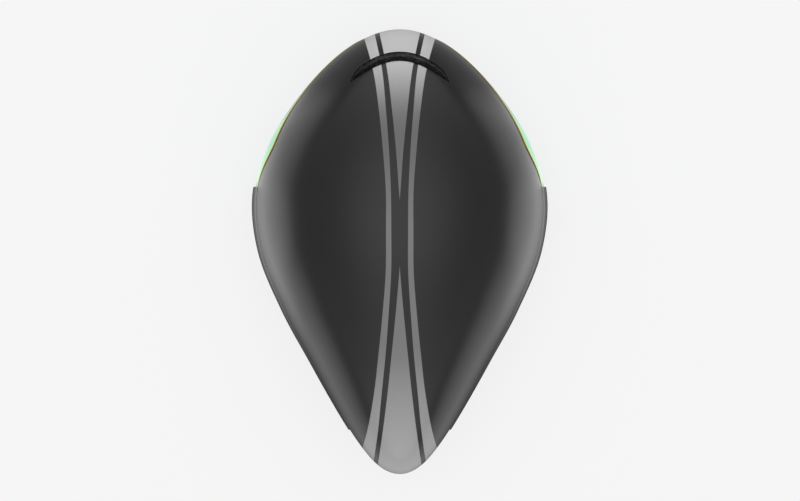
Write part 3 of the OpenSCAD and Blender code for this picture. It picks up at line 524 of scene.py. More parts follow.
# Half widths in plan, every 28 mm from nose to tail: the stripes' outer and inner edges, and the wedges
stripe_span = .154
stripe_outer = [.0262, .0185, .0144, .0116, .0096, .0095, .0097, .0118, .0146, .0178, .0229, .0315]
stripe_inner = [.0179, .0122, .0095, .0074, .0061, .0058, .0059, .0076, .0097, .0125, .0153, .0194]
wedge_edge = [.0144, .0087, .0053, .0025, .0005, -.0015, .0003, .0027, .0055, .0084, .0119, .016]
# How light the stripes are at the same stations: partly a printed fade, partly painted light on the nose
# and the tail
stripe_fade_and_painted_light = [.90, .54, .21, .145, .166, .185, .185, .205, .22, .32, .41, .49]


def store(thing, name, values):
    """Stores one number for each of the mesh's points, for its material to read."""
    thing.data.attributes.new(name, "FLOAT", "POINT").data.foreach_set("value", values)


def stored(tree, name):
    node = tree.nodes.new("ShaderNodeAttribute")
    node.attribute_name = name
    return node.outputs["Fac"]


def paint_marks(thing):
    """Stores how far each point lies outside the stripes' and the wedges' edges, and how light the
    stripes are, printed fade and painted light together.
    """
    points = [vertex.co for vertex in thing.data.vertices]
    shares = [min(max((p.y + stripe_span) / (2 * stripe_span), 0), 1) for p in points]
    store(thing, "stripe_fade_and_painted_light", [along(stripe_fade_and_painted_light, share) for share in shares])
    edges = {"outer_edge": stripe_outer, "inner_edge": stripe_inner, "wedge_edge": wedge_edge}
    for name, widths in edges.items():
        store(thing, name, [abs(p.x) - along(widths, share) for p, share in zip(points, shares)])


def mix_colour(tree, share, first, second):
    node = tree.nodes.new("ShaderNodeMix")
    node.data_type = "RGBA"
    factor_socket, first_socket, second_socket, colour_output = 0, 6, 7, 2
    feed(tree, node.inputs[factor_socket], share)
    feed(tree, node.inputs[first_socket], first)
    feed(tree, node.inputs[second_socket], second)
    return node.outputs[colour_output]


def noise_at(tree, where, scale, detail=2, roughness=.5):
    node = add(tree, "ShaderNodeTexNoise", Vector=where, Scale=scale, Detail=detail, Roughness=roughness)
    return node.outputs["Fac"]


def bump_from(tree, height, strength, distance, under=None):
    node = add(tree, "ShaderNodeBump", Strength=strength, Distance=distance, Height=height)
    if under is not None:
        feed(tree, node.inputs["Normal"], under)
    return node.outputs["Normal"]


def surface(tree, surface_in, colour, roughness, normal, **plain):
    """A Principled surface. Its colour and roughness may be sockets, the rest are plain values."""
    shader = add(tree, "ShaderNodeBsdfPrincipled", Base_Color=colour, Roughness=roughness, Normal=normal,
                 **plain)
    tree.links.new(shader.outputs[0], surface_in)
    return shader


def shell_paint():
    """Matt graphite paint with light stripes that are palest at the nose and the tail, partly from a
    printed fade and partly from painted light.
    """
    edge_blur = .00012
    paint, tree, surface_in, where = new_paint("graphite_shell_paint")
    outer, inner, wedge = [fade(tree, stored(tree, name), edge_blur, -edge_blur)
                           for name in ("outer_edge", "inner_edge", "wedge_edge")]
    light_part = maths(tree, "MAXIMUM", maths(tree, "SUBTRACT", outer, inner, clamp=True), wedge)
    # The stripes' colour holds painted light on the nose and the tail besides their printed fade.
    stripe_colour_with_painted_light = mix_colour(tree, stored(tree, "stripe_fade_and_painted_light"), (0, 0, 0), (.99, .99, .995))
    ground = mix_colour(tree, noise_at(tree, where, 14, 3), (.0128, .0129, .0131), (.0158, .0159, .0162))
    colour = mix_colour(tree, light_part, ground, stripe_colour_with_painted_light)
    grain = noise_at(tree, where, 2600, 2)
    peel = noise_at(tree, where, 420, 1)
    normal = bump_from(tree, grain, .10, .00004)
    normal = bump_from(tree, peel, .06, .0001, normal)
    surface(tree, surface_in, colour, fade(tree, grain, 0, 1, .20, .27), normal, Specular_IOR_Level=.85)
    return paint


def finish_piece(piece, material, node, body="helmet"):
    """Paints a piece, seats it on its CAD body and lets it stand for its CAD node."""
    piece.data.materials.clear()
    piece.data.materials.append(material)
    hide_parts(node)
    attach(piece, body)


outer_shell = build_outer_shell()
paint_marks(outer_shell)
graphite_paint = shell_paint()
finish_piece(outer_shell, graphite_paint, "outer_shell")

# Foam liner.
# The real liner is moulded from expanded polystyrene beads in black, with air channels along
# the crown, a duct from the front intake, a duct out through the tail and pockets for the fittings.
liner_gap = .0004
liner_depth = shell_wall + liner_gap
visor_recess = .001
liner_hem = .049
temple_y = -.050
temple_level = .072
liner_keys = [(-half_length, nose_level), (-.100, nose_level - .012), (-.045, liner_hem),
              (.085, liner_hem), (half_length, tail_level)]


class CavityForm(RoundForm):
    mid_y = -.025
    reach = .102
    half_width = .080
    roof_level = .150
    belly = .150
    front_level = .084
    side_level = .066
    rear_level = .062

    def level(self, th):
        end = self.front_level if th < 90 else self.rear_level
        return self.side_level + (end - self.side_level) * cos_deg(th) ** 2

    def wide(self, th, e):
        return (self.half_width + e) * sin_deg(th)

    def rise(self, th, e):
        return (self.roof_level - self.level(th) + e) * max(0, sin_deg(th)) ** .85

    def drop(self, th, e):
        return (self.belly + e) * sin_deg(th)


cavity_form = CavityForm()


def cavity_edge(th):
    end = cavity_form.front_level if th < 90 else cavity_form.rear_level
    return liner_hem + (end - liner_hem) * cos_deg(th) ** 4


def tube_rings(path, radius, count, squash=1):
    """Rings round a path that lies in a plane of constant X, drawn in to rounded ends."""
    rings = []
    last = len(path) - 1
    for i, p in enumerate(path):
        a, b = path[max(i - 1, 0)], path[min(i + 1, last)]
        d = (b - a).normalized()
        n = Vector((0, -d.z, d.y))
        reach = min((p - path[0]).length, (p - path[last]).length)
        r = radius * math.sqrt(max(.02, 1 - max(0, 1 - reach / radius) ** 2))
        rings.append([p + Vector((1, 0, 0)) * r * squash * math.cos(2 * math.pi * k / count)
                      + n * r * math.sin(2 * math.pi * k / count) for k in range(count)])
    return rings


def intake_duct_cutter():
    """The crescent, carried down through the foam and turned back into the front of the cavity."""
    steps, layers = 44, 16
    end_y, end_half = -.0964, .006
    end_z = cavity_form.roof(0, end_y) - 2 * end_half
    xs = [-intake_half * math.cos(math.pi * i / steps) for i in range(steps + 1)]
    rings = []
    for layer in range(layers + 1):
        t = layer / layers
        front_side, rear_side = [], []
        for x in xs:
            y0 = (intake_front(x) + intake_rear(x)) / 2
            half = max((intake_rear(x) - intake_front(x)) / 2, .0006)
            z0 = shell_surface(x, y0) + .004
            spread = math.sqrt(max(0, 1 - (x / intake_half) ** 2))
            control = Vector((x, y0 + .003, end_z + .012))
            start, end = Vector((x, y0, z0)), Vector((x * .8, end_y, end_z))
            p = start * (1 - t) ** 2 + control * 2 * t * (1 - t) + end * t * t
            d = ((control - start) * (1 - t) + (end - control) * t)
            d.x = 0
            d.normalize()
            n = Vector((0, d.z, -d.y))
            r = half * (1 - t) + (end_half * spread + .0004) * t
            front_side.append(p + n * r)
            rear_side.append(p - n * r)
        rings.append(front_side + rear_side[-2:0:-1])
    return ring_stack("intake_duct", rings, True)


def channel_cutter(x):
    path = []
    for i in range(61):
        y = cavity_form.station_y(32 + 118 * i / 60, 0)
        path.append(Vector((x, y, cavity_form.roof(x, y))))
    return ring_stack("channel", tube_rings(path, .007, 24))


def exhaust_cutter():
    """A flat duct from the back of the cavity, over a bend and out below the tail."""
    width, height = .034, .009
    inlet, bend, outlet = Vector((0, .050, .098)), Vector((0, .118, .076)), Vector((0, .162, .0675))
    rings = []
    for i in range(25):
        t = i / 24
        p = inlet * (1 - t) ** 2 + bend * 2 * t * (1 - t) + outlet * t * t
        d = ((bend - inlet) * (1 - t) + (outlet - bend) * t).normalized()
        n = Vector((0, -d.z, d.y))
        ring = []
        for k in range(32):
            a = 2 * math.pi * (k + .5) / 32
            side = math.copysign((width - height) / 2, math.cos(a)) + height / 2 * math.cos(a)
            ring.append(p + Vector((side, 0, 0)) + n * height / 2 * math.sin(a))
        rings.append(ring)
    return ring_stack("exhaust_duct", rings)


def box_cutter(low, high):
    x0, y0, z0 = low
    x1, y1, z1 = high
    return ring_stack("box", [[Vector((x, y, z)) for x, y in ((x0, y0), (x1, y0), (x1, y1), (x0, y1))]
                              for z in (z0, z1)])


def rod(name, start, end, radius, count=48):
    """A round rod between two points."""
    axis = (Vector(end) - Vector(start)).normalized()
    across = axis.orthogonal().normalized()
    up = axis.cross(across)
    return ring_stack(name, [[Vector(p) + across * radius * math.cos(2 * math.pi * k / count)
                              + up * radius * math.sin(2 * math.pi * k / count) for k in range(count)]
                             for p in (start, end)])


def magnet_seats():
    """Where the three visor magnets lie: a point on the shell form and the way out from it."""
    below_rim, step = .009, .001
    y = -.082
    z = ease(shell_keys, y) - below_rim
    spot = shell_form.at_level(y, z, 0)
    along_y = shell_form.at_level(y + step, z, 0) - shell_form.at_level(y - step, z, 0)
    along_z = shell_form.at_level(y, z + step, 0) - shell_form.at_level(y, z - step, 0)
    out = along_y.cross(along_z).normalized()
    nose = shell_form.ray(-.020, 0, nose_level - below_rim, -.0005)
    tilt = math.radians(98)
    return [(spot, out), (Vector((-spot.x, spot.y, spot.z)), Vector((-out.x, out.y, out.z))),
            (nose, Vector((0, -math.sin(tilt), math.cos(tilt))))]


def build_foam_liner():
    rows, arcs = 120, 96

    def outer_row(th):
        y = shell_form.station_y(th, 0)
        low = shell_form.lean(th, ease(liner_keys, y), 0)
        row = []
        for j in range(arcs + 1):
            ph = low + (180 - 2 * low) * j / arcs
            p = shell_form.point(th, ph, 0)
            under = ease(shell_keys, p.y) - cover_lap - p.z
            depth = liner_depth + visor_recess * min(max(under / .001, 0), 1)
            row.append(shell_form.point(th, ph, -depth))
        return row

    stations = [180 * i / rows for i in range(1, rows)]
    outer = [outer_row(th) for th in stations]
    inner = [arc_row(cavity_form, th, cavity_edge(th), 0, arcs) for th in stations]
    tips = [Vector((0, liner_depth - half_length, nose_level)),
            Vector((0, half_length - liner_depth, tail_level)),
            Vector((0, cavity_form.mid_y - cavity_form.reach, cavity_form.front_level)),
            Vector((0, cavity_form.mid_y + cavity_form.reach, cavity_form.rear_level))]
    liner = closed_sheet("foam_liner_body", outer, inner, tips)
    cutters = [intake_duct_cutter(), exhaust_cutter()]
    cutters += [channel_cutter(x) for x in (-.029, 0, .029)]
    pocket_depth, pocket_radius = .0066, .0053
    for spot, out in magnet_seats():
        cutters.append(rod("magnet_pocket", spot - out * pocket_depth, spot + out * .0004, pocket_radius))
    bush_inner, bush_outer, bush_radius = .0665, .0869, .00505
    for side in (-1, 1):
        cutters.append(rod("bush_hole", (side * bush_inner, temple_y, temple_level),
                           (side * bush_outer, temple_y, temple_level), bush_radius))
    guide_slot = (-.0098, .060, .0684), (.0098, .0779, .0790)
    cutters.append(box_cutter(*guide_slot))
    carve(liner, cutters)
    return smooth_faces(liner, 50)


def bead_foam():
    """Black bead foam: rounded cells about 2 mm wide with a fine grain on them, each its own tone,
    with painted shade darkening each bead towards its seams.
    """
    beads_per_metre, bead_random = 420, .85
    paint, tree, surface_in, where = new_paint("black_bead_foam")
    cells, seams = [add(tree, "ShaderNodeTexVoronoi", Vector=where, Scale=beads_per_metre,
                        Randomness=bead_random) for _ in range(2)]
    seams.feature = "DISTANCE_TO_EDGE"
    dome = maths(tree, "MULTIPLY", seams.outputs["Distance"], 2.2, clamp=True)
    dome = maths(tree, "POWER", dome, .5)
    grain = noise_at(tree, where, 3200, 3, .7)
    normal = bump_from(tree, dome, .55, .0004)
    normal = bump_from(tree, grain, .25, .00012, normal)
    # Painted shade: each bead's colour darkens with its dome towards the seams between beads.
    tone = maths(tree, "MULTIPLY", dome, maths(tree, "ADD", .6, cells.outputs["Distance"]), clamp=True)
    bead = add(tree, "ShaderNodeSeparateColor", Color=cells.outputs["Color"])
    speck = fade(tree, noise_at(tree, where, 900, 2, .75), 0, 1, -.6, 1.8)
    tone = maths(tree, "MULTIPLY", maths(tree, "MULTIPLY_ADD", bead.outputs["Red"], .8, .15), tone)
    tone = maths(tree, "MULTIPLY", tone, speck, clamp=True)
    colour = mix_colour(tree, tone, (.012, .012, .012), (.19, .19, .19))
    surface(tree, surface_in, colour, fade(tree, grain, 0, 1, .55, .8), normal, Specular_IOR_Level=.45)
    return paint


foam_paint = bead_foam()
foam_liner = build_foam_liner()
finish_piece(foam_liner, foam_paint, "foam_liner")

# Visor magnets and plates.
# Three nickel-plated disc magnets are glued into pockets in the foam, and three thin steel
# plates are bonded to the back of the lens where it meets them.
def plain_paint(name, colour, roughness, grain_scale=1800, grain_depth=.00004, **plain):
    """A moulded or plated surface with a fine grain in its gloss and relief."""
    paint, tree, surface_in, where = new_paint(name)
    grain = noise_at(tree, where, grain_scale, 3, .6)
    tone = mix_colour(tree, noise_at(tree, where, 45, 2), tuple(.86 * c for c in colour), colour)
    rough = maths(tree, "ADD", fade(tree, grain, 0, 1, -.06, .06), roughness)
    surface(tree, surface_in, tone, rough, bump_from(tree, grain, .3, grain_depth), **plain)
    return paint


def paint_cad(node, material, edge=0):
    """A fitting kept as the CAD has it, with its own finish and lightly broken edges."""
    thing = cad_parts[node]
    thing.data.materials.clear()
    thing.data.materials.append(material)
    if edge:
        bevel = thing.modifiers.new("broken_edges", "BEVEL")
        bevel.width = edge
        bevel.segments = 2
        bevel.limit_method = "ANGLE"
        bevel.angle_limit = math.radians(35)
        bevel.harden_normals = True


nickel = plain_paint("nickel_plating", (.62, .60, .56), .24, 900, .00001, Metallic=1.0)
steel = plain_paint("plain_steel", (.50, .51, .52), .38, 700, .00002, Metallic=1.0)
paint_cad("shell_magnets", nickel, .0002)
paint_cad("visor_plates", steel, .00015)

# Tail panel.
# The real panel is a thin black moulding that closes the underside of the tail between the
# covers. It clips in under them and has five upright slots where the exhaust duct comes out.
tail_level_low = .062
exhaust_level = tail_level - .012


def build_tail_panel():
    start_y = cover_rear - .008
    mid = start_y - .004
    spread = math.degrees(math.atan2(shell_form.wide(shell_form.station(start_y), 0), .004))

    def sheet(e):
        rows = []
        for i in range(97):
            az = 180 + spread * (i / 48 - 1)
            edge = ease(shell_keys, shell_form.ray(mid, az, tail_level - .002, e).y) - .0003
            rows.append([shell_form.ray(mid, az, tail_level_low + (edge - tail_level_low) * j / 8, e)
                         for j in range(9)])
        return rows

    panel = closed_sheet("tail_panel_skin", sheet(0), sheet(-shell_wall))
    round_edges(panel, .0004)
    cutters = []
    for k in range(-2, 3):
        ring = []
        for j in range(24):
            a = 2 * math.pi * (j + .5) / 24
            ring.append((k * .007 + math.copysign(.0005, math.cos(a)) + .002 * math.cos(a),
                         exhaust_level + math.copysign(.0025, math.sin(a)) + .002 * math.sin(a)))
        cutters.append(ring_stack("slot", [[Vector((x, y, z)) for x, z in ring]
                                           for y in (half_length - .012, half_length + .008)]))
    carve(panel, cutters)
    return smooth_faces(panel)


satin_black = plain_paint("satin_black_plastic", (.0135, .0138, .015), .38, 2200, .00003)
tail_panel = build_tail_panel()
finish_piece(tail_panel, satin_black, "tail_panel")

# Side covers.
# One matt black moulding on each side laps over the shell's lower edge, covers the ear and
# stands flat on the table. Its upper lip thins out against the shell and is painted to match it.
cover_wall = .0015
cover_gap = .0004
cover_keys = [(-cover_front, .010), (.010 - cover_front, 0), (.038, 0), (cover_rear, .054)]
lip_above, lip_below = .0016, .008
lip_seat, lip_edge = .00005, .00012
lip_slope = .0008
paint_below = .0028


def cover_thickness(y):
    keys = [(-cover_front, cover_wall - .0002), (.02, cover_wall - .0003), (cover_rear, cover_wall / 2)]
    return ease(keys, y)


def cover_rim(y):
    return ease([(-cover_front, cover_top), (cover_rear, cover_top + .002)], y)


def cover_sheet(outside, side):
    rows = []
    for i in range(121):
        y = -cover_front + (cover_front + cover_rear) * i / 120
        low, top = ease(cover_keys, y), cover_rim(y)
        levels = [low + (top - lip_below - low) * j / 32 for j in range(33)]
        levels += [top - lip_below + (lip_above + lip_below) * j / 5 for j in range(1, 6)]
        row = []
        e = cover_gap + cover_thickness(y) * outside
        tip = lip_seat + lip_edge * outside
        for z in levels:
            drawn_in = max(0, z - top + lip_below) / (lip_above + lip_below)
            p = shell_form.at_level(y, z - lip_slope * outside * drawn_in, e + (tip - e) * drawn_in)
            row.append(Vector((side * p.x, p.y, p.z)))
        rows.append(row)
    return rows


def matt_at_grazing(paint, tone):
    """A textured black that loses its gloss where it is seen edge-on."""
    tree = paint.node_tree
    link = tree.nodes["Material Output"].inputs["Surface"].links[0]
    gloss, surface_in = link.from_node, link.to_socket
    flat = add(tree, "ShaderNodeBsdfDiffuse", Color=tone)
    edge_on = add(tree, "ShaderNodeLayerWeight", Blend=.5).outputs["Facing"]
    tree.links.new(mix_shaders(tree, fade(tree, edge_on, .85, .92), gloss, flat), surface_in)


cover_black = (.0095, .0095, .0098)
matt_cover = plain_paint("matt_black_cover", cover_black, .36, 2200, .00003, Specular_IOR_Level=.3)
matt_at_grazing(matt_cover, cover_black)
for side, word in ((1, "left"), (-1, "right")):
    cover = closed_sheet("side_cover_" + word + "_skin", cover_sheet(1, side), cover_sheet(0, side))
    round_edges(cover, .00012, 2)
    smooth_faces(cover)
    finish_piece(cover, matt_cover, "side_cover_" + word)
    paint_marks(cover)
    cover.data.materials.append(graphite_paint)
    for face in cover.data.polygons:
        if face.center.z > cover_rim(face.center.y) - paint_below:
            face.material_index = 1

# Ear foams.
# A soft block of closed-cell foam is glued inside each cover and sits round the ear.
ear_foam_depth = .007
ear_front = cover_front - .013
ear_rear = .084
ear_keys = [(-ear_front, .012), (.016 - ear_front, .005), (.038, .005), (ear_rear, .026)]


def ear_foam_sheet(inwards, side):
    """The foam's outer face, or its inner face with the rim drawn back to a soft round."""
    rows = []
    count, across = 72, 28
    round_rim, glue = .0045, .0003
    for i in range(count + 1):
        y = -ear_front + (ear_front + ear_rear) * i / count
        low = ease(ear_keys, y)
        tall = liner_hem - .004 - low
        row = []
        for j in range(across + 1):
            rim = min(i, count - i) / count * (ear_front + ear_rear)
            rim = min(rim, min(j, across - j) / across * tall)
            depth = cover_gap - glue
            if inwards:
                short = 1 - math.sqrt(max(0, 1 - (1 - min(1, rim / round_rim)) ** 2))
                depth -= ear_foam_depth - round_rim * short
            p = shell_form.at_level(y, low + tall * j / across, depth)
            row.append(Vector((side * p.x, p.y, p.z)))
        rows.append(row)
    return rows


def soft_foam():
    paint, tree, surface_in, where = new_paint("soft_closed_cell_foam")
    cells = add(tree, "ShaderNodeTexVoronoi", Vector=where, Scale=1500).outputs["Distance"]
    normal = bump_from(tree, cells, .5, .0002)
    normal = bump_from(tree, noise_at(tree, where, 160, 3), .3, .0003, normal)
    colour = mix_colour(tree, cells, (.030, .030, .032), (.018, .018, .019))
    surface(tree, surface_in, colour, .88, normal, Specular_IOR_Level=.3)
    return paint


ear_paint = soft_foam()
for side, word in ((1, "left"), (-1, "right")):
    ear_foam = closed_sheet("ear_foam_" + word + "_block", ear_foam_sheet(False, side),
                            ear_foam_sheet(True, side))
    smooth_faces(ear_foam, 50)
    finish_piece(ear_foam, ear_paint, "ear_foam_" + word)

# Straps, anchors and dividers.
# Black polyester webbing hangs from moulded anchors in the foam's hem, two straps a side, and
# meets in a flat divider below the ear. The anchors and dividers are glass-filled nylon.
web_width = .015
web_thick = .0014
strap_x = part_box("front_strap_left")[0][0] + web_thick / 2


def rounded_ribbon(name, path, widths, thick, across=None):
    """Webbing along a path. Each cross-section is a flat strip with round edges, stored with its own
    lengthwise and crosswise measure for the weave. across gives the strip's width direction."""
    last = len(path) - 1
    rings, measures = [], []
    run = 0
    for i, p in enumerate(path):
        a, b = path[max(i - 1, 0)], path[min(i + 1, last)]
        along_path = (b - a).normalized()
        wide_way = across[i] if isinstance(across, list) else (across or Vector((0, 0, 1)))
        wide_way = (wide_way - along_path * wide_way.dot(along_path)).normalized()
        face_way = along_path.cross(wide_way)
        if i:
            run += (p - path[i - 1]).length
        half, r = widths[i] / 2, thick / 2
        section = [((-1 + 2 * k / 9) * (half - r), r) for k in range(10)]
        for a in (.5, math.pi / 2, math.pi - .5):
            section.append((half - r * (1 - math.sin(a)), r * math.cos(a)))
        section += [(-u, -v) for u, v in section]
        rings.append([p + wide_way * u + face_way * v for u, v in section])
        measures += [(run, u) for u, v in section]
    strap = ring_stack(name, rings)
    store(strap, "lengthwise", [u for u, v in measures])
    store(strap, "crosswise", [v for u, v in measures])
    return smooth_faces(strap, 60)


def woven(name, colour, pitch, depth, sheen, twill):
    """Woven cloth from the stored lengthwise and crosswise measures: crossing threads with a little
    fuzz, and painted shade in the hollows between the threads."""
    paint, tree, surface_in, where = new_paint(name)
    long_way, cross_way = stored(tree, "lengthwise"), stored(tree, "crosswise")
    slanted = maths(tree, "ADD", long_way, maths(tree, "MULTIPLY", cross_way, twill))
    first, second = [maths(tree, "SINE", maths(tree, "MULTIPLY", way, 2 * math.pi / pitch))
                     for way in (slanted, cross_way)]
    cross = maths(tree, "MULTIPLY_ADD", maths(tree, "MULTIPLY", first, second), .5, .5)
    fuzz = noise_at(tree, where, 5200, 3, .7)
    wear = noise_at(tree, where, 90, 2)
    normal = bump_from(tree, cross, .8, depth)
    normal = bump_from(tree, fuzz, .4, depth * .5, normal)
    # Painted shade: the colour darkens where the weave lies low, and wear varies it at random.
    share = maths(tree, "MULTIPLY", cross, maths(tree, "ADD", wear, .45), clamp=True)
    tone = mix_colour(tree, share, tuple(.45 * c for c in colour), colour)
    surface(tree, surface_in, tone, .78, normal, Sheen_Weight=sheen, Sheen_Roughness=.5,
            Specular_IOR_Level=.25)
    return paint


webbing = woven("black_webbing", (.040, .040, .043), .0013, .00016, .25, 1.0)
nylon = plain_paint("black_nylon", (.016, .016, .017), .47, 1500, .00006)


def mirrored(path, side):
    return [Vector((side * p.x, p.y, p.z)) for p in path]


def smooth_path(points, steps):
    """A smooth run through a few points."""
    path = []
    for i in range(len(points) - 1):
        before = points[i - 1] if i else points[0] * 2 - points[1]
        after = points[i + 2] if i + 2 < len(points) else points[-1] * 2 - points[-2]
        path += [Vector(smooth_through(before[k], points[i][k], points[i + 1][k], after[k], t / steps)
                        for k in range(3)) for t in range(steps)]
    return path + [points[-1]]


rim_level = liner_hem - .0003
front_top = Vector((strap_x, -.042, rim_level - .004))
front_end = Vector((strap_x, -.0316, web_width + .003))
rear_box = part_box("rear_strap_left")
rear_top = Vector((rear_box[0][0] + web_thick / 2, rear_box[1][1], rim_level - web_width / 2 - .006))
rear_turn = [Vector((strap_x, -.016, web_width + .007)), Vector((strap_x, -.0005, web_width + .009)),
             Vector((strap_x - .001, .006, web_width + .010)), rear_top]
for side, word in ((1, "left"), (-1, "right")):
    front_run = [front_top.lerp(front_end, i / 24) for i in range(25)]
    front_way = (front_end - front_top).cross(Vector((1, 0, 0))).normalized()
    front_strap = rounded_ribbon("front_strap_" + word + "_webbing", mirrored(front_run, side),
                                 [web_width] * 25, web_thick, front_way)
    finish_piece(front_strap, webbing, "front_strap_" + word)
    rear_run = smooth_path(rear_turn[:2], 4)[:-1] + smooth_path(rear_turn[1:], 16)
    rear_strap = rounded_ribbon("rear_strap_" + word + "_webbing", mirrored(rear_run, side),
                                [web_width] * len(rear_run), web_thick)
    finish_piece(rear_strap, webbing, "rear_strap_" + word)
    paint_cad("divider_" + word, nylon, .0005)
paint_cad("strap_anchors", nylon, .0004)

# Height guide and temple bushes.
# Moulded nylon parts pressed into the foam: the guide holds the cradle's height strip, and
# the bushes take the headband's studs.
paint_cad("height_guide", nylon, .0003)
paint_cad("temple_bushes", nylon, .0003)

# Headband.
# Two flexible nylon bands run from the temple studs round the back of the head. Their toothed
# ends slide over each other in the gear case, where the dial's pinion drives both.
dial_level = .036
rack_y = .062
rack_thick = .0034
band_thick = .0016


def band_height_at(t):
    temple_height, rack_height = .012, .0035
    k = min(max(t * 2.4 - 1.4, 0), 1)
    return temple_height + (rack_height - temple_height) * k * k * (3 - 2 * k)


def build_band(side, word):
    half_x, half_y, power = .0765, .0946, 2.15
    middle_y = -.025
    temple = Vector((0, temple_y, temple_level))

    def oval(angle):
        c = cos_deg(angle)
        return Vector((half_x * sin_deg(angle) ** (2 / power),
                       middle_y - math.copysign(half_y * abs(c) ** (2 / power), c), 0))

    start = math.degrees(math.acos(((middle_y - temple_y) / half_y) ** (power / 2)))
    end = 180 - math.degrees(math.asin((.050 / half_x) ** (power / 2)))
    plan = [oval(start + (end - start) * i / 64) for i in range(65)]
    turn, far = plan[-1], Vector((.030, rack_y, 0))
    pull, push = turn + Vector((-.006, .006, 0)), Vector((.038, rack_y, 0))
    for i in range(1, 33):
        t = i / 32
        plan.append(turn * (1 - t) ** 3 + pull * 3 * t * (1 - t) ** 2
                    + push * 3 * t * t * (1 - t) + far * t ** 3)
    last = len(plan) - 1
    middle = dial_level + side * .00755
    path = []
    for i, p in enumerate(plan):
        t = i / last
        path.append(Vector((p.x, p.y, temple_level + (middle - temple_level) * t * t * (3 - 2 * t))))
    widths = [band_height_at(i / last) for i in range(last + 1)]
    strip = rounded_ribbon("band_" + word + "_strip", path, widths, band_thick)
    x0 = plan[0].x
    parts = [strip, rod("eye", temple + Vector((x0 - band_thick / 2, 0, 0)),
                        temple + Vector((x0 + band_thick / 2, 0, 0)), .007, 64),
             rod("stud", temple + Vector((x0, 0, 0)), temple + Vector((.0857, 0, 0)), .0025)]
    for thing in parts[1:]:
        round_edges(thing, .0004)
    return parts


def join(parts):
    """Welds several pieces of one moulding into one object."""
    work = bmesh.new()
    for part in parts:
        work.from_mesh(part.data)
    work.to_mesh(parts[0].data)
    work.free()
    for part in parts[1:]:
        bpy.data.objects.remove(part)
    return parts[0]


def rack_outline():
    """The toothed end in plan: a bar with 20-degree teeth along one side."""
    pitch_r, root, back = .0048, .0058, .0093
    left_end, right_end = -.008, .031
    tooth = math.pi * .0008
    points = [(left_end, root)]
    slope = math.tan(math.radians(20)) * .001
    for k in range(-2, 5):
        c, a = (k + .5) * tooth, tooth / 4 - .00015
        points += [(c - a - slope, root), (c - a + slope / 2, pitch_r - .0005),
                   (c + a - slope / 2, pitch_r - .0005), (c + a + slope, root)]
    return points + [(right_end, root), (right_end, back), (left_end, back)]


flexible_nylon = plain_paint("flexible_nylon", (.019, .019, .020), .42, 1700, .00004)
for side, word in ((1, "left"), (-1, "right")):
    outline = rack_outline()
    if side < 0:
        outline = [(x, -z) for x, z in outline]
    rack = ring_stack("rack", [[Vector((x, y, dial_level + z)) for x, z in outline]
                               for y in (rack_y - rack_thick / 2, rack_y + rack_thick / 2)])
    band = join(build_band(side, word) + [rack])
    if side < 0:
        for vertex in band.data.vertices:
            vertex.co.x = -vertex.co.x
        band.data.flip_normals()
    smooth_faces(band, 40)
    finish_piece(band, flexible_nylon, "band_" + word, word + "_band")

# Cradle, pinion and dial.
# A flat two-part nylon gear case carries the nape pads and hangs from its height strip. The
# acetal pinion turns inside it on a shaft, with a soft rubber dial pressed on behind.
paint_cad("cradle_base", nylon, .0005)
paint_cad("cradle_cover", nylon, .0005)
acetal = plain_paint("white_acetal", (.72, .72, .69), .35, 1200, .00002)
paint_cad("dial_pinion", acetal)


def build_dial():
    """A revolved knob whose rim is scalloped for the fingers, with a shallow dish in its face."""
    low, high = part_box("dial_knob")
    radius, depth, turns = (high.x - low.x) / 2, high.y - low.y, 18
    profile = [(.0031, .0001), (.0112, .0001), (.0122, .0003), (.0134, .0015), (.0139, .0024),
               (.0140, .0036), (.0140, .0056), (.0138, .0067), (.0131, .0079), (.0121, .0087),
               (.0110, .0090), (.0099, .0089), (.0090, .0083), (.0078, .0079), (.0040, .0078),
               (.0004, .0078)]
    drawn_radius, drawn_depth, groove_depth = .014, .009, .0009
    rings = []
    for r, along_axis in profile:
        ring = []
        grip = min(1, max(0, (r - .0105) / .0025))
        for k in range(216):
            a = 2 * math.pi * k / 216
            groove = groove_depth * grip * max(0, math.cos(turns * a)) ** 1.5
            reach = r / drawn_radius * radius - groove
            ring.append(Vector((reach * math.cos(a), low.y + along_axis / drawn_depth * depth,
                                dial_level + reach * math.sin(a))))
        rings.append(ring)
    return smooth_faces(ring_stack("dial_knob_body", rings), 50)


soft_rubber = plain_paint("soft_black_rubber", (.014, .014, .0145), .58, 1900, .00008)
dial = build_dial()
finish_piece(dial, soft_rubber, "dial_knob", "dial")

# Fabric pads and their patches.
# Thin foam laminated with black knitted fabric and heat-welded flat round its edge. Each pad
# holds on nylon hook patches that are glued to the foam.
patch_thick = .0008
pad_lift = patch_thick + .0006
pad_thick = .005
weld = .0022


def pad_swell(u, v, long_half, short_half):
    """How full the pad is, 0 at its welded edge to 1, for a place measured from its middle."""
    corner = min(short_half * .98, .0085)
    du = max(0, abs(u) - (long_half - corner))
    dv = max(0, abs(v) - (short_half - corner))
    inside = corner - math.hypot(du, dv)
    if du == 0 or dv == 0:
        inside = min(long_half - abs(u), short_half - abs(v))
    t = min(1, max(0, (inside - weld) / .0045))
    return math.sin(t * math.pi / 2) ** .8


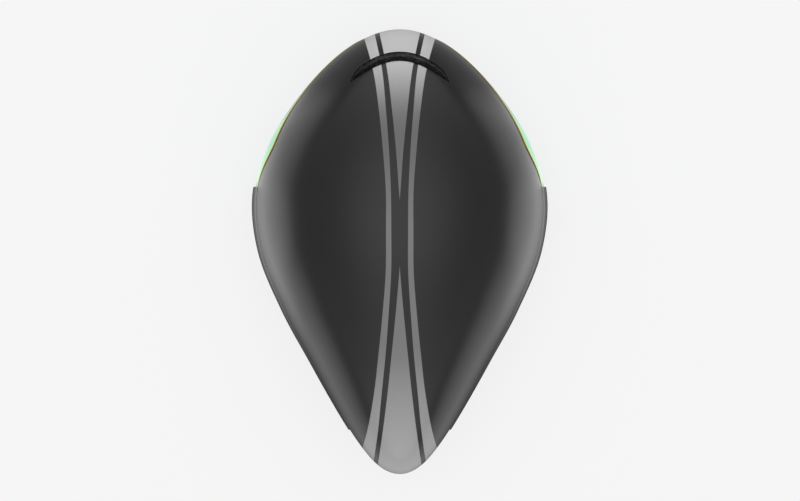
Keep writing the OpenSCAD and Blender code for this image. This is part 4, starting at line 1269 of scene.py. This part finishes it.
def build_pad(name, place, length, height, count, across):
    """place(u, v, depth) gives a point on the pad's seat. The outline is a rectangle with round
    corners."""
    long_half, short_half = length / 2, height / 2
    corner = min(short_half * .98, .0085)
    front_rows, back_rows, measures = [], [], []
    for i in range(count + 1):
        u = -long_half * math.cos(math.pi * i / count) if count < 30 else -long_half + length * i / count
        u = min(max(u, -long_half + .00004), long_half - .00004)
        over = max(0, abs(u) - (long_half - corner))
        reach = short_half - corner + math.sqrt(max(corner * corner - over * over, 1e-9))
        front_row, back_row = [], []
        for j in range(across + 1):
            v = reach * (-1 + 2 * j / across)
            swell = pad_swell(u, v, long_half, short_half)
            full = .0008 + (pad_thick - .0008) * swell
            back_row.append(place(u, v, -pad_lift - .0002 * (1 - swell)))
            front_row.append(place(u, v, -pad_lift - full))
            measures.append((u, v))
        front_rows.append(front_row)
        back_rows.append(back_row)
    pad = closed_sheet(name, back_rows, front_rows)
    store(pad, "lengthwise", [u for u, v in measures] * 2)
    store(pad, "crosswise", [v for u, v in measures] * 2)
    return smooth_faces(pad, 60)


pad_cloth = woven("black_pad_fabric", (.034, .034, .037), .0011, .00012, .35, .5)


def brow_place(u, v, depth):
    az = math.degrees(u / .088)
    return cavity_form.ray(cavity_form.mid_y, az, nose_level + .0105 + v, depth)


def side_place(side):
    def place(u, v, depth):
        p = cavity_form.at_level(u, .095 + v, depth)
        return Vector((side * p.x, p.y, p.z))
    return place


def crown_place(side):
    def place(u, v, depth):
        th = 92 + math.degrees(u / .1005)
        x = side * .0145 + v
        share = min(1, abs(x) / cavity_form.wide(th, depth))
        return cavity_form.point(th, math.degrees(math.acos(math.copysign(share ** 1.1, x))), depth)
    return place


def nape_place(side):
    case_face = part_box("cradle_base")[0].y
    low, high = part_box("nape_pad_left")
    nape_thick, nape_sunk = .0034, .0003

    def place(u, v, depth):
        y = case_face + (depth + pad_lift) * nape_thick / pad_thick - nape_sunk
        return Vector((side * (low.x + high.x) / 2 + u, y, dial_level + v))
    return place


def sewn_pad(node, place, length, height, count, across, body="helmet"):
    pad = build_pad(node + "_cushion", place, length, height, count, across)
    finish_piece(pad, pad_cloth, node, body)


sewn_pad("brow_pad", brow_place, 2 * math.radians(52) * .088, .017, 140, 20)
for side, word in ((1, "left"), (-1, "right")):
    sewn_pad("side_pad_" + word, side_place(side), .060, .018, 64, 20)
    sewn_pad("crown_pad_" + word, crown_place(side), math.radians(80) * .1005, .011, 140, 14)
    sewn_pad("nape_pad_" + word, nape_place(side), .022, .018, 48, 20, "cradle")
paint_cad("pad_patches", plain_paint("hook_patch", (.045, .045, .047), .85, 1400, .0003))

# Chin loop.
# Webbing runs from a moulded lug below each ear, which turns on the divider's pin, forward to a
# magnetic buckle at the chin. A rubber keeper holds the free end, and a fabric pad backs the buckle.
for word in ("left", "right"):
    paint_cad("chin_lug_" + word, nylon, .0004)
pivot_level = .0085
chin_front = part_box("chin_strap_left")[0].y + web_thick / 2
lug_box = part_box("chin_lug_left")
chin_x = (lug_box[0].x + lug_box[1].x) / 2
chin_bend = .048


def chin_path(side, end_x):
    start = Vector((chin_x, -.029, pivot_level))
    centre = Vector((chin_x - chin_bend, chin_front + chin_bend, pivot_level))
    path = [start.lerp(Vector((chin_x, centre.y, pivot_level)), i / 14) for i in range(14)]
    for a in range(0, 91, 3):
        path.append(centre + Vector((cos_deg(a) * chin_bend, -sin_deg(a) * chin_bend, 0)))
    last = path[-1]
    path += [last.lerp(Vector((end_x, chin_front, pivot_level)), i / 12) for i in range(1, 13)]
    return mirrored(path, side)


left_run = chin_path(1, .027)
chin_left = rounded_ribbon("chin_strap_left_webbing", left_run, [web_width] * len(left_run), web_thick)
finish_piece(chin_left, webbing, "chin_strap_left", "chin_loop")
right_run = chin_path(-1, .0165)
chin_right = rounded_ribbon("chin_strap_right_webbing", right_run, [web_width] * len(right_run),
                            web_thick)
chin_right.data.materials.clear()
chin_right.data.materials.append(webbing)
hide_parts("chin_strap_right")
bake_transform(chin_right)
paint_cad("buckle_socket", nylon, .0006)
paint_cad("buckle_tongue", nylon, .0005)
paint_cad("socket_magnet", nickel, .0002)
paint_cad("tongue_magnet", nickel, .0002)
paint_cad("strap_keeper", soft_rubber, .0004)


def chin_pad_place(u, v, depth):
    low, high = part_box("chin_pad")
    return Vector(((low.x + high.x) / 2 - u, low.y - (depth + pad_lift) * (high.y - low.y) / pad_thick,
                   (low.z + high.z) / 2 + v))


sewn_pad("chin_pad", chin_pad_place, .028, .016, 56, 20, "chin_loop")

# Visor.
# One injection-moulded polycarbonate lens with a green mirror coating reaches from cover to
# cover. It hangs on the three magnets and pulls straight off forwards.
lens_wall = .0015
lens_gap = .001
lens_mid = -.020
lens_end = -cover_front + .007
lens_hem = .012
nose_arch = .015
lens_proud = .0005
lens_taper = 14
flush_angle = 10
flush_taper = 4


def build_visor():
    steps, columns = 96, 34
    side_x = shell_form.at_level(lens_end, .060, 0).x
    spread = math.degrees(math.atan2(side_x, lens_mid - lens_end))

    def top_of(az):
        z = .0905
        for _ in range(5):
            z = ease(shell_keys, shell_form.ray(lens_mid, az, z, 0).y) - lens_gap
        return z

    outer, inner = [], []
    for i in range(2 * steps + 1):
        az = spread * (i / steps - 1)
        low, top = lens_hem + nose_arch * max(0, cos_deg(az)) ** 8, top_of(az)
        levels = [low + (top - low) * j / columns for j in range(columns + 1)]
        proud = min(1, (spread - abs(az)) / lens_taper, (abs(az) - flush_angle) / flush_taper)
        outer.append([shell_form.ray(lens_mid, az, z, lens_proud * max(0, proud)) for z in levels])
        inner.append([shell_form.ray(lens_mid, az, z, -lens_wall) for z in levels])
    lens = round_edges(closed_sheet("visor_lens_shell", outer, inner), .0004, 3)
    below = []
    for p in [vertex.co for vertex in lens.data.vertices]:
        az = math.degrees(math.atan2(p.x, lens_mid - p.y))
        below.append(top_of(min(max(az, -spread), spread)) - p.z)
    store(lens, "below_edge", below)
    return smooth_faces(lens)


def mirror_lens():
    """Tinted polycarbonate under a mirror coating that runs from gold at the brow to green and then
    cyan below."""
    coating_depth, clear_share = .075, .14
    paint, tree, surface_in, where = new_paint("green_mirror_lens")
    drift = maths(tree, "MULTIPLY", maths(tree, "SUBTRACT", noise_at(tree, where, 9, 2), .5), .0012)
    below = maths(tree, "ADD", stored(tree, "below_edge"), drift)
    ramp = add(tree, "ShaderNodeValToRGB", Fac=maths(tree, "DIVIDE", below, coating_depth))
    stops = [(0, (.52, .28, .06)), (.006, (.80, .70, .14)), (.020, (.96, .95, .38)),
             (.070, (.66, .98, .48)), (.17, (.42, .97, .52)), (.38, (.60, 1, .82)),
             (.68, (.24, .80, .84)), (1, (.08, .42, .72))]
    for i, (share, colour) in enumerate(stops):
        stop = ramp.color_ramp.elements[i] if i < 2 else ramp.color_ramp.elements.new(share)
        stop.position = share
        stop.color = (*colour, 1)
    coating = add(tree, "ShaderNodeBsdfPrincipled", Base_Color=ramp.outputs["Color"], Metallic=1,
                  Roughness=.09, Specular_Tint=(.72, 1, .88))
    clear = add(tree, "ShaderNodeBsdfPrincipled", Base_Color=(.25, .62, .40), Roughness=.03, IOR=1.585,
                Transmission_Weight=1)
    tree.links.new(mix_shaders(tree, clear_share, coating, clear), surface_in)
    return paint


visor = build_visor()
finish_piece(visor, mirror_lens(), "visor_lens", "visor")
